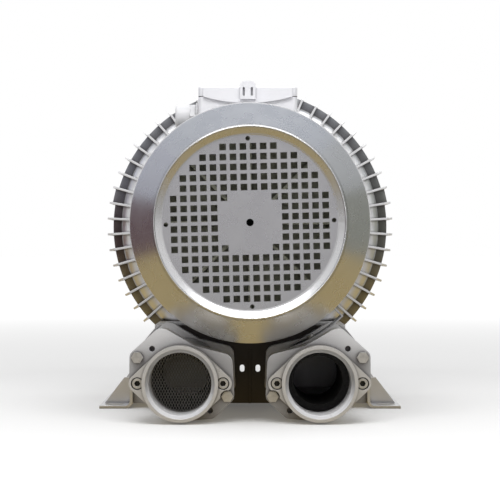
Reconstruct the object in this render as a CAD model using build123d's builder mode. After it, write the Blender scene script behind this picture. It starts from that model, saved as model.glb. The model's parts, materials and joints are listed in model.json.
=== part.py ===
from build123d import *
from math import asin, cos, degrees, hypot, radians, sin, sqrt
import os

os.makedirs("parts", exist_ok=True)

# Side channel blower, in millimetres.
# +X is to the right seen from the fan end, +Y runs from the fan end to the impeller end, +Z is up.
# The origin is the centre of the four foot slots, on the ground.

# ---------------------------------------------------------------------------
# Driving dimensions
# ---------------------------------------------------------------------------

axis_height = 190.0            # rotor axis above the ground
parting_y = 42.0               # split plane of the impeller casing

# Annular channel, shared by the casing body and its cover
channel_mid_radius = 112.0     # rotor axis to the middle of the channel
channel_section_radius = 28.0  # round section of the channel
channel_wall = 6.0
stripper_half_angle = 18.0     # solid part of the channel between outlet and inlet
rim_radius = 151.5             # bolted rim of both casing halves
rim_inner_radius = 130.0
body_rim_thickness = 15.0
cover_rim_thickness = 12.0
disc_wall = 10.0               # flat wall inside the channel ring
casing_gasket_thickness = 0.5
casing_gasket_inset = 7.2      # from the impeller slot to the gasket

# Radial cooling fins of the casing
fin_count = 56
fin_thickness = 2.2
fin_tip_radius = 155.5
fin_root_radius = 104.0
fin_reach = 47.0               # from the split plane to the fin's end face
fin_corner = 6.0
fin_lowest_angle = -42.0       # below the horizontal
fin_top_gap_angle = 20.0       # no fins this close to the vertical, behind the terminal box
side_boss_angle = 12.857       # pad on the rim in one gap between two fins
side_boss_radius = 154.5

# Casing screws
casing_screw_count = 8
casing_screw_circle = 146.0    # radius
casing_screw_depth = 12.0
cover_boss_radius = 6.5

# Impeller
impeller_disc_half = 4.0
impeller_web_half = 1.5
vane_inner_radius = 88.0
vane_outer_radius = 136.0
vane_half_width = 12.0
vane_count = 36
vane_thickness = 2.4
impeller_ring_radius = 90.0
impeller_ring_bore = 84.6
impeller_hub_radius = 24.0
impeller_hub_rear = 16.0       # from the impeller's middle plane
running_gap = 0.6              # impeller to casing

# Duct block under the casing ring
block_front_y = -73.0
block_bottom = 5.0
block_top = 86.0
block_neck_half = 99.0         # half width above the flare
block_half = 121.5             # half width at the feet
block_neck_z = 83.0
block_flare_z = 56.0
shelf_rear_y = 73.0
shelf_top = 31.0
duct_wall = 6.0
duct_inner_x = 34.0
duct_end_wall = 8.0            # front and rear walls of the ducts, and the web between them
gap_top_front = 60.0           # open space between the ducts
gap_top_rear = 42.0
gap_step_y = 6.0
shelf_pocket_depth = 20.0
motor_clearance_radius = 109.0
light_hole_x = 8.2             # two small holes in the web between the ducts
light_hole_z = 41.0
light_hole_radius = 2.4
light_hole_height = 8.0
web_rib_width = 2.5
web_rib_depth = 1.5

# Motor
motor_front_y = -140.5
motor_tube_radius = 87.0
motor_tube_bore = 80.0
motor_fin_radius = 106.0
motor_fin_count = 40
motor_fin_thickness = 2.5
motor_flange_radius = 105.0
motor_flange_thickness = 10.0
motor_screw_circle = 95.0      # radius
motor_screw_depth = 14.0
motor_screw_room = 2.0         # radius, between the fins round the heads
shield_screw_circle = 83.5     # radius
shield_screw_depth = 16.0
shield_radius = 92.0
spigot_rear_y = 22.0
spigot_inner_radius = 87.5

# Stator and rotor
stator_front_y = -115.0
stator_rear_y = -35.0
stator_bore_radius = 50.0
rotor_air_gap = 0.5
slot_count = 24
slot_depth = 18.0
slot_width = 6.0
winding_overhang = 16.0
winding_outer_radius = 75.0
winding_inner_radius = 54.0
cage_ring_length = 10.0
cage_ring_thickness = 16.0
cage_ring_inset = 1.5          # from the rotor core's surface
slot_opening = 2.0             # from the stator bore to its slots

# Shaft and bearings
core_seat_radius = 19.0
fan_bearing_bore = 12.5        # radii, 25 x 52 x 15 bearing
fan_bearing_outer = 26.0
fan_bearing_width = 15.0
fan_bearing_y = -147.0
drive_bearing_bore = 15.0      # radii, 30 x 62 x 16 bearing
drive_bearing_outer = 31.0
drive_bearing_width = 16.0
drive_bearing_y = -2.0
ball_count = 9
ball_gap = 0.05
ball_share = 0.3               # ball radius over the height between bore and outside
race_share = 0.28              # ring height over the same
cage_start = 0.4               # cage, as shares of the ball radius
cage_height = 0.7
cage_width = 0.9
seal_outer_radius = 23.5
seal_width = 7.0
seal_y = 20.0
impeller_seat_radius = 14.0
thread_radius = 8.0
washer_radius = 17.0
washer_thickness = 3.0
nut_width = 24.0
nut_height = 12.0
shaft_past_nut = 1.5
fan_seat_radius = 11.0
shaft_front_y = -209.0
shaft_centre_radius = 4.0      # hole in the fan end
shaft_centre_depth = 16.0
shaft_chamfer = 1.0
front_journal_radius = 16.0    # between the fan bearing and the rotor core
rear_journal_radius = 18.0     # between the rotor core and the drive bearing
shaft_clearance = 1.0          # radius, round the turning shaft
hub_wall = 9.0

# End shield, fan and cowl
shield_thickness = 8.0
shield_spigot = 6.0
fan_front_y = -204.0
fan_rear_y = -166.0
fan_radius = 94.0
fan_hub_radius = 24.0
fan_blade_count = 8
fan_blade_thickness = 3.0
fan_plate_thickness = 3.0
fan_hub_past_plate = 3.0
fan_blade_corner = 6.0
circlip_thickness = 1.5
circlip_depth = 1.0
circlip_gap = 4.0
circlip_reach = 2.5            # outside the shaft
cowl_sheet = 1.5
cowl_radius = 114.5
cowl_front_y = -228.5
cowl_shoulder_y = -203.0
cowl_rim_radius = 91.5
cowl_plate_radius = 83.0
cowl_rim_land = 2.0            # flat ring on the front rim
cowl_recess = 8.0
cowl_turn = 1.56               # the hole pattern is turned by this, in degrees
grille_pitch = 9.5
grille_square = 6.2
grille_across = 16
grille_inner_pitches = 3.2
grille_outer_pitches = 8.1
cowl_centre_hole = 3.5
cowl_small_hole = 2.15
cowl_small_hole_circle = 78.8
cowl_screw_setback = 8.0       # from the cowl's rear edge
shield_lug_width = 16.0
shield_lug_thickness = 14.0
cowl_screw_depth = 12.0

# Ports and silencers
port_pitch = 132.0
port_height = 38.0
port_ring_radius = 36.0
port_front_y = -216.5
port_mouth_radius = 32.6
port_bore_radius = 29.8
port_chamfer_depth = 3.0
port_spigot_radius = 32.0
port_spigot_length = 16.0
port_ear_reach = 40.5
port_ear_radius = 8.4
port_ear_setback = 8.0
port_ear_thickness = 9.0
port_gasket_thickness = 1.0
plate_thickness = 10.0
silencer_bore_radius = 30.5
silencer_tube_radius = 35.0
lining_bore_radius = 24.0
lining_rear_gap = 4.0
housing_flange = 12.0
silencer_gasket_thickness = 1.0
bolt_reach = 7.0               # silencer bolts into the duct block
guard_depth = 43.0
guard_thickness = 1.2
guard_pitch = 5.2
guard_bar = 1.4

# Silencer outline, from the port centre: outward and up are positive
upper_ear = (17.8, 40.4, 11.0)
bolt_a = (41.2, 24.0, 7.5)
inner_corner = (-40.0, 18.5, 9.5)
bolt_b = (-44.4, -12.9, 6.5)
lower_ear = (-27.9, -26.5, 8.0)
open_hole_upper = (27.2, 32.2)
open_hole_radius = 2.8
port_circle_radius = 37.0
open_hole_lower = (-27.9, -26.5)

# Feet
foot_sheet = 3.0
foot_half_length = 80.0
foot_reach = 156.0
foot_wall_top = 36.0
foot_bend = 8.0                # outer bend radius
slot_pitch_x = 284.0
slot_pitch_y = 126.0
slot_length = 20.0
foot_slot_width = 10.0
gusset_y = 50.0
gusset_top_z = 30.0
gusset_top_width = 8.0
foot_screw_y = 25.0
foot_screw_z = 24.0

# Air guide behind the cowl, lower right
guide_radius = 130.2
guide_sheet = 1.5
guide_front_y = -139.5
guide_length = 26.0
guide_first_angle = -72.0
guide_last_angle = -44.5
guide_inner_radius = 116.5
guide_screw_x = 62.0
guide_saddle_half = 10.0
guide_screw_depth = 5.0

# Terminal box
box_x = -2.2
box_width = 99.0
box_front_y = -133.5
box_length = 110.0
box_bottom = 282.0
box_seam = 317.0
box_top = 327.5
box_wall = 4.0
box_corner = 5.0
lid_screw_inset = 9.0
box_gasket = 0.8
box_pad_inset = 8.0
box_pillar_radius = 6.0
lid_edge_radius = 1.5
lid_screw_length = 16.0
apron_thickness = 3.0
apron_sag = 6.5
lug_width = 15.5
lug_thickness = 4.0
lug_bottom = 314.0
lug_top = 332.0
lug_slot_pitch = 8.0
lug_slot_width = 2.2
lug_slot_height = 8.6
lug_slot_z = 321.5
lug_corner = 5.0
gland_y = -103.0
gland_z = 299.5
gland_flange_radius = 14.5
gland_hex = 24.0
gland_nut_radius = 12.5
gland_bore_radius = 5.0
gland_thread_radius = 10.0
gland_flange_thickness = 3.0
gland_hex_length = 6.0
gland_thread_length = 10.0
gland_length = 24.0
gland_nut_round = 3.0
gland_locknut_thickness = 4.0
wire_hole_radius = 9.0
board_length = 60.0
board_width = 30.0
board_height = 10.0
board_gap = 2.0                # from the wire hole

# Bearing retainer and spring
retainer_thickness = 3.0
retainer_bore = 27.0
retainer_inset = 1.0           # from the hub's edge
retainer_screw_circle = 35.5   # radius
retainer_screw_depth = 10.0
spring_thickness = 1.5
spring_inner_radius = 21.5
spring_clearance = 0.5
cover_dome_bore = 30.0
cover_dome_wall = 6.0
cover_dome_room = 3.0          # behind the shaft's end
cover_rib_count = 8
cover_rib_thickness = 5.0
cover_rib_height = 16.0
key_width = 8.0
key_height = 7.0
key_length = 16.0

# Fasteners: shank radius, head radius, head height
m4 = (2.0, 3.5, 4.0)
m5 = (2.5, 4.25, 5.0)
m5_low = (2.5, 4.25, 2.5)
m6 = (3.0, 5.0, 6.0)
hex_head_width = 10.0
hex_head_height = 4.0
bolt_head_room = 6.6           # radius cleared round each hexagon head
head_stand_off = 0.1           # flat head over the hollow side of a bent sheet
hex_socket_depth = 0.65        # share of the head height
hex_socket_width = 0.58        # share of the head diameter
hole_clearance = 0.3           # radius, screws through clearance holes
counterbore_clearance = 1.0    # radius
head_recess = 0.4              # sunk screw heads below the face round them
tapped_spare = 1.0             # tapped holes deeper than their screws

# ---------------------------------------------------------------------------
# Places worked out from the driving dimensions
# ---------------------------------------------------------------------------

cover_y = parting_y + casing_gasket_thickness
impeller_y = parting_y + casing_gasket_thickness / 2
channel_outer_radius = channel_section_radius + channel_wall
body_disc_y = impeller_y - impeller_disc_half - running_gap
cover_disc_y = impeller_y + impeller_disc_half + running_gap
slot_inner_radius = impeller_ring_bore - running_gap
slot_outer_radius = vane_outer_radius + running_gap
slot_half_width = vane_half_width + running_gap
motor_rear_y = parting_y - fin_reach - 1.0
hub_front_y = drive_bearing_y
hub_radius = drive_bearing_outer + hub_wall
block_rear_y = parting_y
shield_rear_y = motor_front_y
shield_front_y = motor_front_y - shield_thickness
plate_front_y = port_front_y + port_ear_setback + port_ear_thickness + port_gasket_thickness
plate_rear_y = plate_front_y + plate_thickness
cowl_rear_y = motor_front_y
rotor_axis = Axis((0, 0, axis_height), (0, 1, 0))
box_mid_y = box_front_y + box_length / 2
box_left_x = box_x - box_width / 2
housing_front_y = plate_rear_y
housing_rear_y = block_front_y - silencer_gasket_thickness
guard_front_y = port_front_y + guard_depth
lining_front_y = guard_front_y + guard_thickness
foot_half = slot_pitch_x / 2
nut_y = impeller_y + impeller_hub_rear + washer_thickness
shaft_rear_y = nut_y + nut_height + shaft_past_nut
rotor_core_radius = stator_bore_radius - rotor_air_gap
guide_rear_y = guide_front_y + guide_length
dome_inner_y = shaft_rear_y + cover_dome_room
dome_rear_y = dome_inner_y + cover_dome_wall


def facing(y, x=0.0, z=axis_height, turn=0.0):
    """Plane whose normal points at the fan end; local x is +X and local y is +Z before the turn."""
    c, s = cos(radians(turn)), sin(radians(turn))
    return Plane(origin=(x, y, z), x_dir=(c, 0, s), z_dir=(0, -1, 0))


def radial(angle):
    """Plane through the rotor axis; local x runs outward at the angle, local y is +Y."""
    c, s = cos(radians(angle)), sin(radians(angle))
    return Plane(origin=(0, 0, axis_height), x_dir=(c, 0, s), z_dir=(-s, 0, c))


def polar(radius, angle):
    return (radius * cos(radians(angle)), radius * sin(radians(angle)))


profile_plane = radial(0)


def half_torus_section(y_sign, y_face):
    """Round channel section, cut off at the split plane, on the rotor's profile plane."""
    with Locations((channel_mid_radius, y_face)):
        Circle(channel_outer_radius)
    with Locations((channel_mid_radius, y_face - y_sign * channel_outer_radius)):
        Rectangle(4 * channel_outer_radius, 2 * channel_outer_radius, mode=Mode.SUBTRACT)


def cut_channel(y_face, y_sign):
    """Channel outside the stripper, and the slot that the impeller runs in all the way round."""
    open_angle = 360.0 - 2 * stripper_half_angle
    with BuildSketch(radial(-90.0 + stripper_half_angle)) as channel:
        with Locations((channel_mid_radius, y_face)):
            Circle(channel_section_radius)
        with Locations((channel_mid_radius, y_face - y_sign * channel_section_radius)):
            Rectangle(3 * channel_section_radius, 2 * channel_section_radius, mode=Mode.SUBTRACT)
    revolve(channel.sketch, axis=rotor_axis, revolution_arc=-open_angle, mode=Mode.SUBTRACT)
    with BuildSketch(profile_plane) as slot:
        with Locations(((slot_inner_radius + slot_outer_radius) / 2, impeller_y)):
            Rectangle(slot_outer_radius - slot_inner_radius, 2 * slot_half_width)
        with Locations((0, impeller_y)):
            Rectangle(slot_outer_radius, 2 * (impeller_disc_half + running_gap), align=(Align.MIN, Align.CENTER))
    revolve(slot.sketch, axis=rotor_axis, mode=Mode.SUBTRACT)


def fin_angles():
    pitch = 360.0 / fin_count
    angles = [pitch * (n + 0.5) for n in range(fin_count)]
    wanted = []
    for angle in angles:
        from_horizontal = degrees(asin(sin(radians(angle))))
        if fin_lowest_angle < from_horizontal < 90.0 - fin_top_gap_angle:
            wanted.append(angle)
    return wanted


def fins(y_face, y_sign):
    end_y = y_face + y_sign * fin_reach
    with BuildSketch(*[radial(angle) for angle in fin_angles()]) as fin_outlines:
        with BuildLine():
            Polyline(
                (fin_root_radius, y_face),
                (fin_tip_radius, y_face),
                (fin_tip_radius, end_y - y_sign * fin_corner),
                (fin_tip_radius - fin_corner, end_y),
                (fin_root_radius, end_y),
                close=True,
            )
        make_face()
    extrude(fin_outlines.sketch, amount=fin_thickness / 2, both=True)


def casing_screw_angles():
    return [360.0 / casing_screw_count * n for n in range(casing_screw_count)]


def finish(piece, name):
    """Label a finished piece and write it."""
    piece.part.label = name
    export_step(piece.part, f"parts/{name}.step")


def holes(planes, radius, depth):
    """Round holes from each plane, against its normal; a negative depth goes along it."""
    with BuildSketch(*planes) as circles:
        Circle(radius)
    extrude(circles.sketch, amount=-depth, mode=Mode.SUBTRACT)


def socket_screws(planes, size, shank_length):
    """Socket head screws whose heads sit on the planes and point along their normals."""
    shank_radius, head_radius, head_height = size
    with BuildSketch(*planes) as shanks:
        Circle(shank_radius)
    extrude(shanks.sketch, amount=-shank_length)
    with BuildSketch(*planes) as heads:
        Circle(head_radius)
    extrude(heads.sketch, amount=head_height)
    with BuildSketch(*[plane.offset(head_height) for plane in planes]) as sockets:
        RegularPolygon(head_radius * hex_socket_width, 6)
    extrude(sockets.sketch, amount=-head_height * hex_socket_depth, mode=Mode.SUBTRACT)


def hexagon_bolts(planes, shank_radius, shank_length):
    with BuildSketch(*planes) as shanks:
        Circle(shank_radius)
    extrude(shanks.sketch, amount=-shank_length)
    with BuildSketch(*planes) as heads:
        RegularPolygon(hex_head_width / 2, 6, major_radius=False)
    extrude(heads.sketch, amount=hex_head_height)


def casing_screw_planes(y):
    """Normals towards +Y: the screws come in through the cover."""
    planes = []
    for angle in casing_screw_angles():
        x, z = polar(casing_screw_circle, angle)
        planes.append(Plane(origin=(x, y, axis_height + z), x_dir=(1, 0, 0), z_dir=(0, 1, 0)))
    return planes


def motor_screw_planes(y):
    """Normals towards the fan end, on the motor housing's rear flange."""
    return [facing(y, x, axis_height + z)
            for x, z in [polar(motor_screw_circle, 45.0 + 90.0 * n) for n in range(4)]]


def retainer_screw_planes(y):
    return [facing(y, x, axis_height + z)
            for x, z in [polar(retainer_screw_circle, 90.0 + 120.0 * n) for n in range(3)]]


def shield_screw_planes(y):
    return [facing(y, x, axis_height + z)
            for x, z in [polar(shield_screw_circle, 90.0 * n) for n in range(4)]]


def silencer_bolt_planes(y, sides=(-1, 1)):
    return [facing(y, side * (port_pitch / 2 + bolt[0]), port_height + bolt[1])
            for side in sides for bolt in (bolt_a, bolt_b)]


def port_screw_planes(y, sides=(-1, 1)):
    return [facing(y, side * port_pitch / 2 + reach, port_height)
            for side in sides for reach in (-port_ear_reach, port_ear_reach)]


def foot_screw_planes(x):
    """Normals outward, on both sides."""
    return [Plane(origin=(side * x, y, foot_screw_z), x_dir=(0, 1, 0), z_dir=(side, 0, 0))
            for side in (-1, 1) for y in (-foot_screw_y, foot_screw_y)]


def cowl_screw_planes(radius):
    planes = []
    for n in range(4):
        x, z = polar(radius, 45.0 + 90.0 * n)
        planes.append(Plane(origin=(x, cowl_rear_y - cowl_screw_setback, axis_height + z),
                            x_dir=(0, 1, 0), z_dir=(x / radius, 0, z / radius)))
    return planes


def guide_screw_planes(radius):
    """Normal towards the rotor axis, in the middle of the air guide."""
    c = guide_screw_x / guide_radius
    s = -sqrt(1 - c * c)
    return [Plane(origin=(radius * c, (guide_front_y + guide_rear_y) / 2, axis_height + radius * s),
                  x_dir=(0, 1, 0), z_dir=(-c, 0, -s))]


def lid_screw_planes(z):
    half_x = box_width / 2 - lid_screw_inset
    half_y = box_length / 2 - lid_screw_inset
    return [Plane(origin=(box_x + i * half_x, box_mid_y + j * half_y, z))
            for i in (-1, 1) for j in (-1, 1)]


def bearing(name, bore, outer, width, y):
    """Deep groove ball bearing: outer ring, inner ring, and its balls in a cage, as three pieces."""
    mid = (bore + outer) / 2
    ball_radius = (outer - bore) * ball_share
    ring_height = (outer - bore) * race_share
    mid_y = y + width / 2
    rings = []
    for ring, inner, outside in (("outer_ring", outer - ring_height, outer),
                                 ("inner_ring", bore, bore + ring_height)):
        with BuildPart() as piece:
            with BuildSketch(profile_plane):
                with Locations((inner, mid_y)):
                    Rectangle(outside - inner, width, align=(Align.MIN, Align.CENTER))
                with Locations((mid, mid_y)):
                    Circle(ball_radius + ball_gap, mode=Mode.SUBTRACT)
            revolve(axis=rotor_axis)
        finish(piece, f"{name}_{ring}")
        rings.append(piece)
    with BuildPart() as balls:
        for n in range(ball_count):
            x, z = polar(mid, 360.0 / ball_count * n)
            with Locations((x, mid_y, axis_height + z)):
                Sphere(ball_radius)
    finish(balls, f"{name}_balls")
    # Crown cage: a ring beside the balls with a round seat for each
    with BuildPart() as cage:
        with BuildSketch(profile_plane):
            with Locations((mid, mid_y + cage_start * ball_radius)):
                Rectangle(cage_height * ball_radius, cage_width * ball_radius, align=(Align.CENTER, Align.MIN))
        revolve(axis=rotor_axis)
        for n in range(ball_count):
            x, z = polar(mid, 360.0 / ball_count * n)
            with Locations((x, mid_y, axis_height + z)):
                Sphere(ball_radius + ball_gap, mode=Mode.SUBTRACT)
    finish(cage, f"{name}_cage")
    return rings + [balls, cage]


# ---------------------------------------------------------------------------
# Impeller casing
# ---------------------------------------------------------------------------


def casing_ring(mode=Mode.ADD):
    """Ring, rim, flat wall, bearing hub and the spigot that carries the motor."""
    with BuildSketch(profile_plane) as section:
        half_torus_section(-1, parting_y)
        with Locations((rim_inner_radius, parting_y)):
            Rectangle(rim_radius - rim_inner_radius, body_rim_thickness, align=(Align.MIN, Align.MAX))
        with Locations((seal_outer_radius, body_disc_y)):
            Rectangle(channel_mid_radius - seal_outer_radius, disc_wall, align=(Align.MIN, Align.MAX))
        with Locations((drive_bearing_bore, hub_front_y)):
            Rectangle(hub_radius - drive_bearing_bore, body_disc_y - hub_front_y, align=(Align.MIN, Align.MIN))
        with Locations((spigot_inner_radius, motor_rear_y)):
            Rectangle(motor_flange_radius - spigot_inner_radius, spigot_rear_y - motor_rear_y,
                      align=(Align.MIN, Align.MIN))
    revolve(section.sketch, axis=rotor_axis, mode=mode)


def block_outline(y, x=0.0, inset=0.0):
    """One half of the duct block's outline, from x outward, mirrored to both sides."""
    with BuildSketch(facing(y, z=0)) as outline:
        with BuildLine():
            Polyline(
                (x, block_bottom),
                (block_half, block_bottom),
                (block_half, block_flare_z),
                (block_neck_half, block_neck_z),
                (block_neck_half, block_top),
                (x, block_top),
                close=True,
            )
        make_face()
        if inset:
            offset(amount=-inset, kind=Kind.INTERSECTION)
        mirror(about=Plane.YZ)
    return outline.sketch


def cut_ducts():
    """Air ducts inside the block, each open to the channel above it."""
    extrude(block_outline(block_front_y + duct_end_wall, duct_inner_x - duct_wall, duct_wall),
            amount=-(block_rear_y - block_front_y - 2 * duct_end_wall), mode=Mode.SUBTRACT)


with BuildPart() as casing_body:
    casing_ring()
    fins(parting_y, -1)
    # Pads on the rim that fill one gap between fins on each side
    for angle in (side_boss_angle, 180.0 - side_boss_angle):
        with BuildSketch(radial(angle)):
            with Locations((rim_inner_radius, parting_y)):
                Rectangle(side_boss_radius - rim_inner_radius, body_rim_thickness, align=(Align.MIN, Align.MAX))
        extrude(amount=side_boss_radius * sin(radians(180.0 / fin_count)), both=True)
    cut_channel(parting_y, -1)
    cut_ducts()
    # Bearing, seal and shaft bores in the hub
    with BuildSketch(facing(hub_front_y)):
        Circle(drive_bearing_outer)
    extrude(amount=-drive_bearing_width, mode=Mode.SUBTRACT)
    with BuildSketch(facing(hub_front_y)):
        Circle(seal_outer_radius)
    extrude(amount=-(seal_y + seal_width - hub_front_y), mode=Mode.SUBTRACT)
    with BuildSketch(facing(hub_front_y)):
        Circle(drive_bearing_bore + shaft_clearance)
    extrude(amount=-(body_disc_y - hub_front_y), mode=Mode.SUBTRACT)
    # Tapped holes
    holes(casing_screw_planes(parting_y), m5[0], casing_screw_depth)
    holes(motor_screw_planes(motor_rear_y), m6[0], motor_screw_depth)
    holes(retainer_screw_planes(hub_front_y), m4[0], retainer_screw_depth)
finish(casing_body, "casing_body")

with BuildPart() as duct_block:
    # Block flared out to the feet, and the shelf that lengthens it under the cover
    extrude(block_outline(block_front_y), amount=-(block_rear_y - block_front_y))
    with BuildSketch(facing(block_rear_y, z=0)):
        with Locations((0, block_bottom)):
            Rectangle(2 * block_half, shelf_top - block_bottom, align=(Align.CENTER, Align.MIN))
    extrude(amount=-(shelf_rear_y - block_rear_y))
    # Seat of the casing ring, and room for the motor in front of it
    casing_ring(Mode.SUBTRACT)
    with BuildSketch(facing(block_front_y)):
        Circle(motor_clearance_radius)
    extrude(amount=-(motor_rear_y - block_front_y), mode=Mode.SUBTRACT)
    cut_channel(parting_y, -1)
    cut_ducts()
    # Open space between the ducts, closed in front by the web
    with BuildSketch(facing(block_front_y + duct_end_wall, z=0)):
        Rectangle(2 * (duct_inner_x - duct_wall), gap_top_front, align=(Align.CENTER, Align.MIN))
    extrude(amount=-(gap_step_y - block_front_y - duct_end_wall), mode=Mode.SUBTRACT)
    with BuildSketch(facing(gap_step_y, z=0)):
        Rectangle(2 * (duct_inner_x - duct_wall), gap_top_rear, align=(Align.CENTER, Align.MIN))
    extrude(amount=-(shelf_rear_y - gap_step_y), mode=Mode.SUBTRACT)
    # Two small holes and a rib on the web
    with BuildSketch(facing(block_front_y, z=0)):
        with Locations((-light_hole_x, light_hole_z), (light_hole_x, light_hole_z)):
            SlotOverall(light_hole_height, 2 * light_hole_radius, rotation=90)
    extrude(amount=-duct_end_wall, mode=Mode.SUBTRACT)
    with BuildSketch(facing(block_front_y, z=0)):
        with Locations((0, block_bottom)):
            Rectangle(web_rib_width, gap_top_front - block_bottom, align=(Align.CENTER, Align.MIN))
    extrude(amount=web_rib_depth)
    # Pockets under the rear shelf
    pocket_width = block_half - duct_wall - duct_inner_x
    pocket_length = shelf_rear_y - block_rear_y - 2 * duct_wall
    with BuildSketch(Plane.XY.offset(block_bottom)):
        with Locations(*[(side * (duct_inner_x + pocket_width / 2), (block_rear_y + shelf_rear_y) / 2)
                         for side in (-1, 1)]):
            Rectangle(pocket_width, pocket_length)
    extrude(amount=shelf_pocket_depth, mode=Mode.SUBTRACT)
    # Where the silencers open into the ducts
    with BuildSketch(facing(block_front_y, z=port_height)):
        with Locations((-port_pitch / 2, 0), (port_pitch / 2, 0)):
            Circle(silencer_bore_radius)
    extrude(amount=-duct_end_wall, mode=Mode.SUBTRACT)
    # Tapped holes
    holes(silencer_bolt_planes(block_front_y), m6[0], duct_end_wall)
    holes(foot_screw_planes(block_half), m6[0], duct_wall)
finish(duct_block, "duct_block")

with BuildPart() as casing_cover:
    with BuildSketch(profile_plane):
        half_torus_section(1, cover_y)
        with Locations((rim_inner_radius, cover_y)):
            Rectangle(rim_radius - rim_inner_radius, cover_rim_thickness, align=(Align.MIN, Align.MIN))
        with Locations((0, cover_disc_y)):
            Rectangle(channel_mid_radius, disc_wall, align=(Align.MIN, Align.MIN))
        with Locations((0, cover_disc_y)):
            Rectangle(cover_dome_bore + cover_dome_wall, dome_rear_y - cover_disc_y,
                      align=(Align.MIN, Align.MIN))
    revolve(axis=rotor_axis)
    fins(cover_y, 1)
    # Ribs from the dome to the ring
    with BuildSketch(*[radial(360.0 / cover_rib_count * (n + 0.5)) for n in range(cover_rib_count)]):
        with BuildLine():
            Polyline(
                (cover_dome_bore, cover_disc_y),
                (channel_mid_radius - channel_section_radius, cover_disc_y),
                (channel_mid_radius - channel_section_radius, cover_disc_y + disc_wall + cover_rib_height / 2),
                (cover_dome_bore, cover_disc_y + disc_wall + cover_rib_height),
                close=True,
            )
        make_face()
    extrude(amount=cover_rib_thickness / 2, both=True)
    # Round bosses under the screw heads
    with BuildSketch(facing(cover_y)):
        with Locations(*[polar(casing_screw_circle, angle) for angle in casing_screw_angles()]):
            Circle(cover_boss_radius)
    extrude(amount=-cover_rim_thickness)
    cut_channel(cover_y, 1)
    # Room for the impeller's hub, nut and the shaft's end
    with BuildSketch(facing(cover_disc_y)):
        Circle(cover_dome_bore)
    extrude(amount=-(dome_inner_y - cover_disc_y), mode=Mode.SUBTRACT)
    holes(casing_screw_planes(cover_y), m5[0] + hole_clearance, -cover_rim_thickness)
    holes(casing_screw_planes(cover_y + cover_rim_thickness), m5[1] + counterbore_clearance, -2 * m5[2])
finish(casing_cover, "casing_cover")

with BuildPart() as casing_gasket:
    with BuildSketch(facing(parting_y)):
        Circle(rim_radius)
        Circle(slot_outer_radius + casing_gasket_inset, mode=Mode.SUBTRACT)
        with Locations(*[polar(casing_screw_circle, angle) for angle in casing_screw_angles()]):
            Circle(m5[0] + hole_clearance, mode=Mode.SUBTRACT)
    extrude(amount=-casing_gasket_thickness)
finish(casing_gasket, "casing_gasket")

with BuildPart() as casing_screws:
    head_planes = [plane.offset(cover_rim_thickness + casing_gasket_thickness)
                   for plane in casing_screw_planes(parting_y)]
    socket_screws(head_planes, m5, cover_rim_thickness + casing_gasket_thickness + casing_screw_depth - tapped_spare)
finish(casing_screws, "casing_screws")

# ---------------------------------------------------------------------------
# Impeller with its key, washer and nut
# ---------------------------------------------------------------------------

with BuildPart() as impeller:
    with BuildSketch(profile_plane):
        with Locations((0, impeller_y)):
            Rectangle(impeller_ring_bore, 2 * impeller_disc_half, align=(Align.MIN, Align.CENTER))
            Rectangle(vane_outer_radius, 2 * impeller_web_half, align=(Align.MIN, Align.CENTER))
        with Locations((impeller_ring_bore - 0.5, impeller_y)):
            Rectangle(impeller_ring_radius - impeller_ring_bore + 0.5, 2 * vane_half_width,
                      align=(Align.MIN, Align.CENTER))
        with Locations((0, impeller_y)):
            Rectangle(impeller_hub_radius, impeller_hub_rear, align=(Align.MIN, Align.MIN))
    revolve(axis=rotor_axis)
    with BuildSketch(*[radial(360.0 / vane_count * n) for n in range(vane_count)]):
        with Locations(((vane_inner_radius + vane_outer_radius) / 2, impeller_y)):
            Rectangle(vane_outer_radius - vane_inner_radius, 2 * vane_half_width)
    extrude(amount=vane_thickness / 2, both=True)
    with BuildSketch(facing(impeller_y - impeller_disc_half)):
        Circle(impeller_seat_radius)
        with Locations((0, impeller_seat_radius)):
            Rectangle(key_width, key_height)
    extrude(amount=-(impeller_disc_half + impeller_hub_rear), mode=Mode.SUBTRACT)
finish(impeller, "impeller")

with BuildPart() as impeller_key:
    with BuildSketch(facing(impeller_y - impeller_disc_half)):
        with Locations((0, impeller_seat_radius)):
            Rectangle(key_width, key_height)
    extrude(amount=-key_length)
finish(impeller_key, "impeller_key")

with BuildPart() as impeller_washer:
    with BuildSketch(facing(impeller_y + impeller_hub_rear)):
        Circle(washer_radius)
        Circle(thread_radius, mode=Mode.SUBTRACT)
    extrude(amount=-washer_thickness)
finish(impeller_washer, "impeller_washer")

with BuildPart() as impeller_nut:
    with BuildSketch(facing(nut_y)):
        RegularPolygon(nut_width / 2, 6, major_radius=False)
        Circle(thread_radius, mode=Mode.SUBTRACT)
    extrude(amount=-nut_height)
finish(impeller_nut, "impeller_nut")

# ---------------------------------------------------------------------------
# Shaft, bearings and seal
# ---------------------------------------------------------------------------

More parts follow.
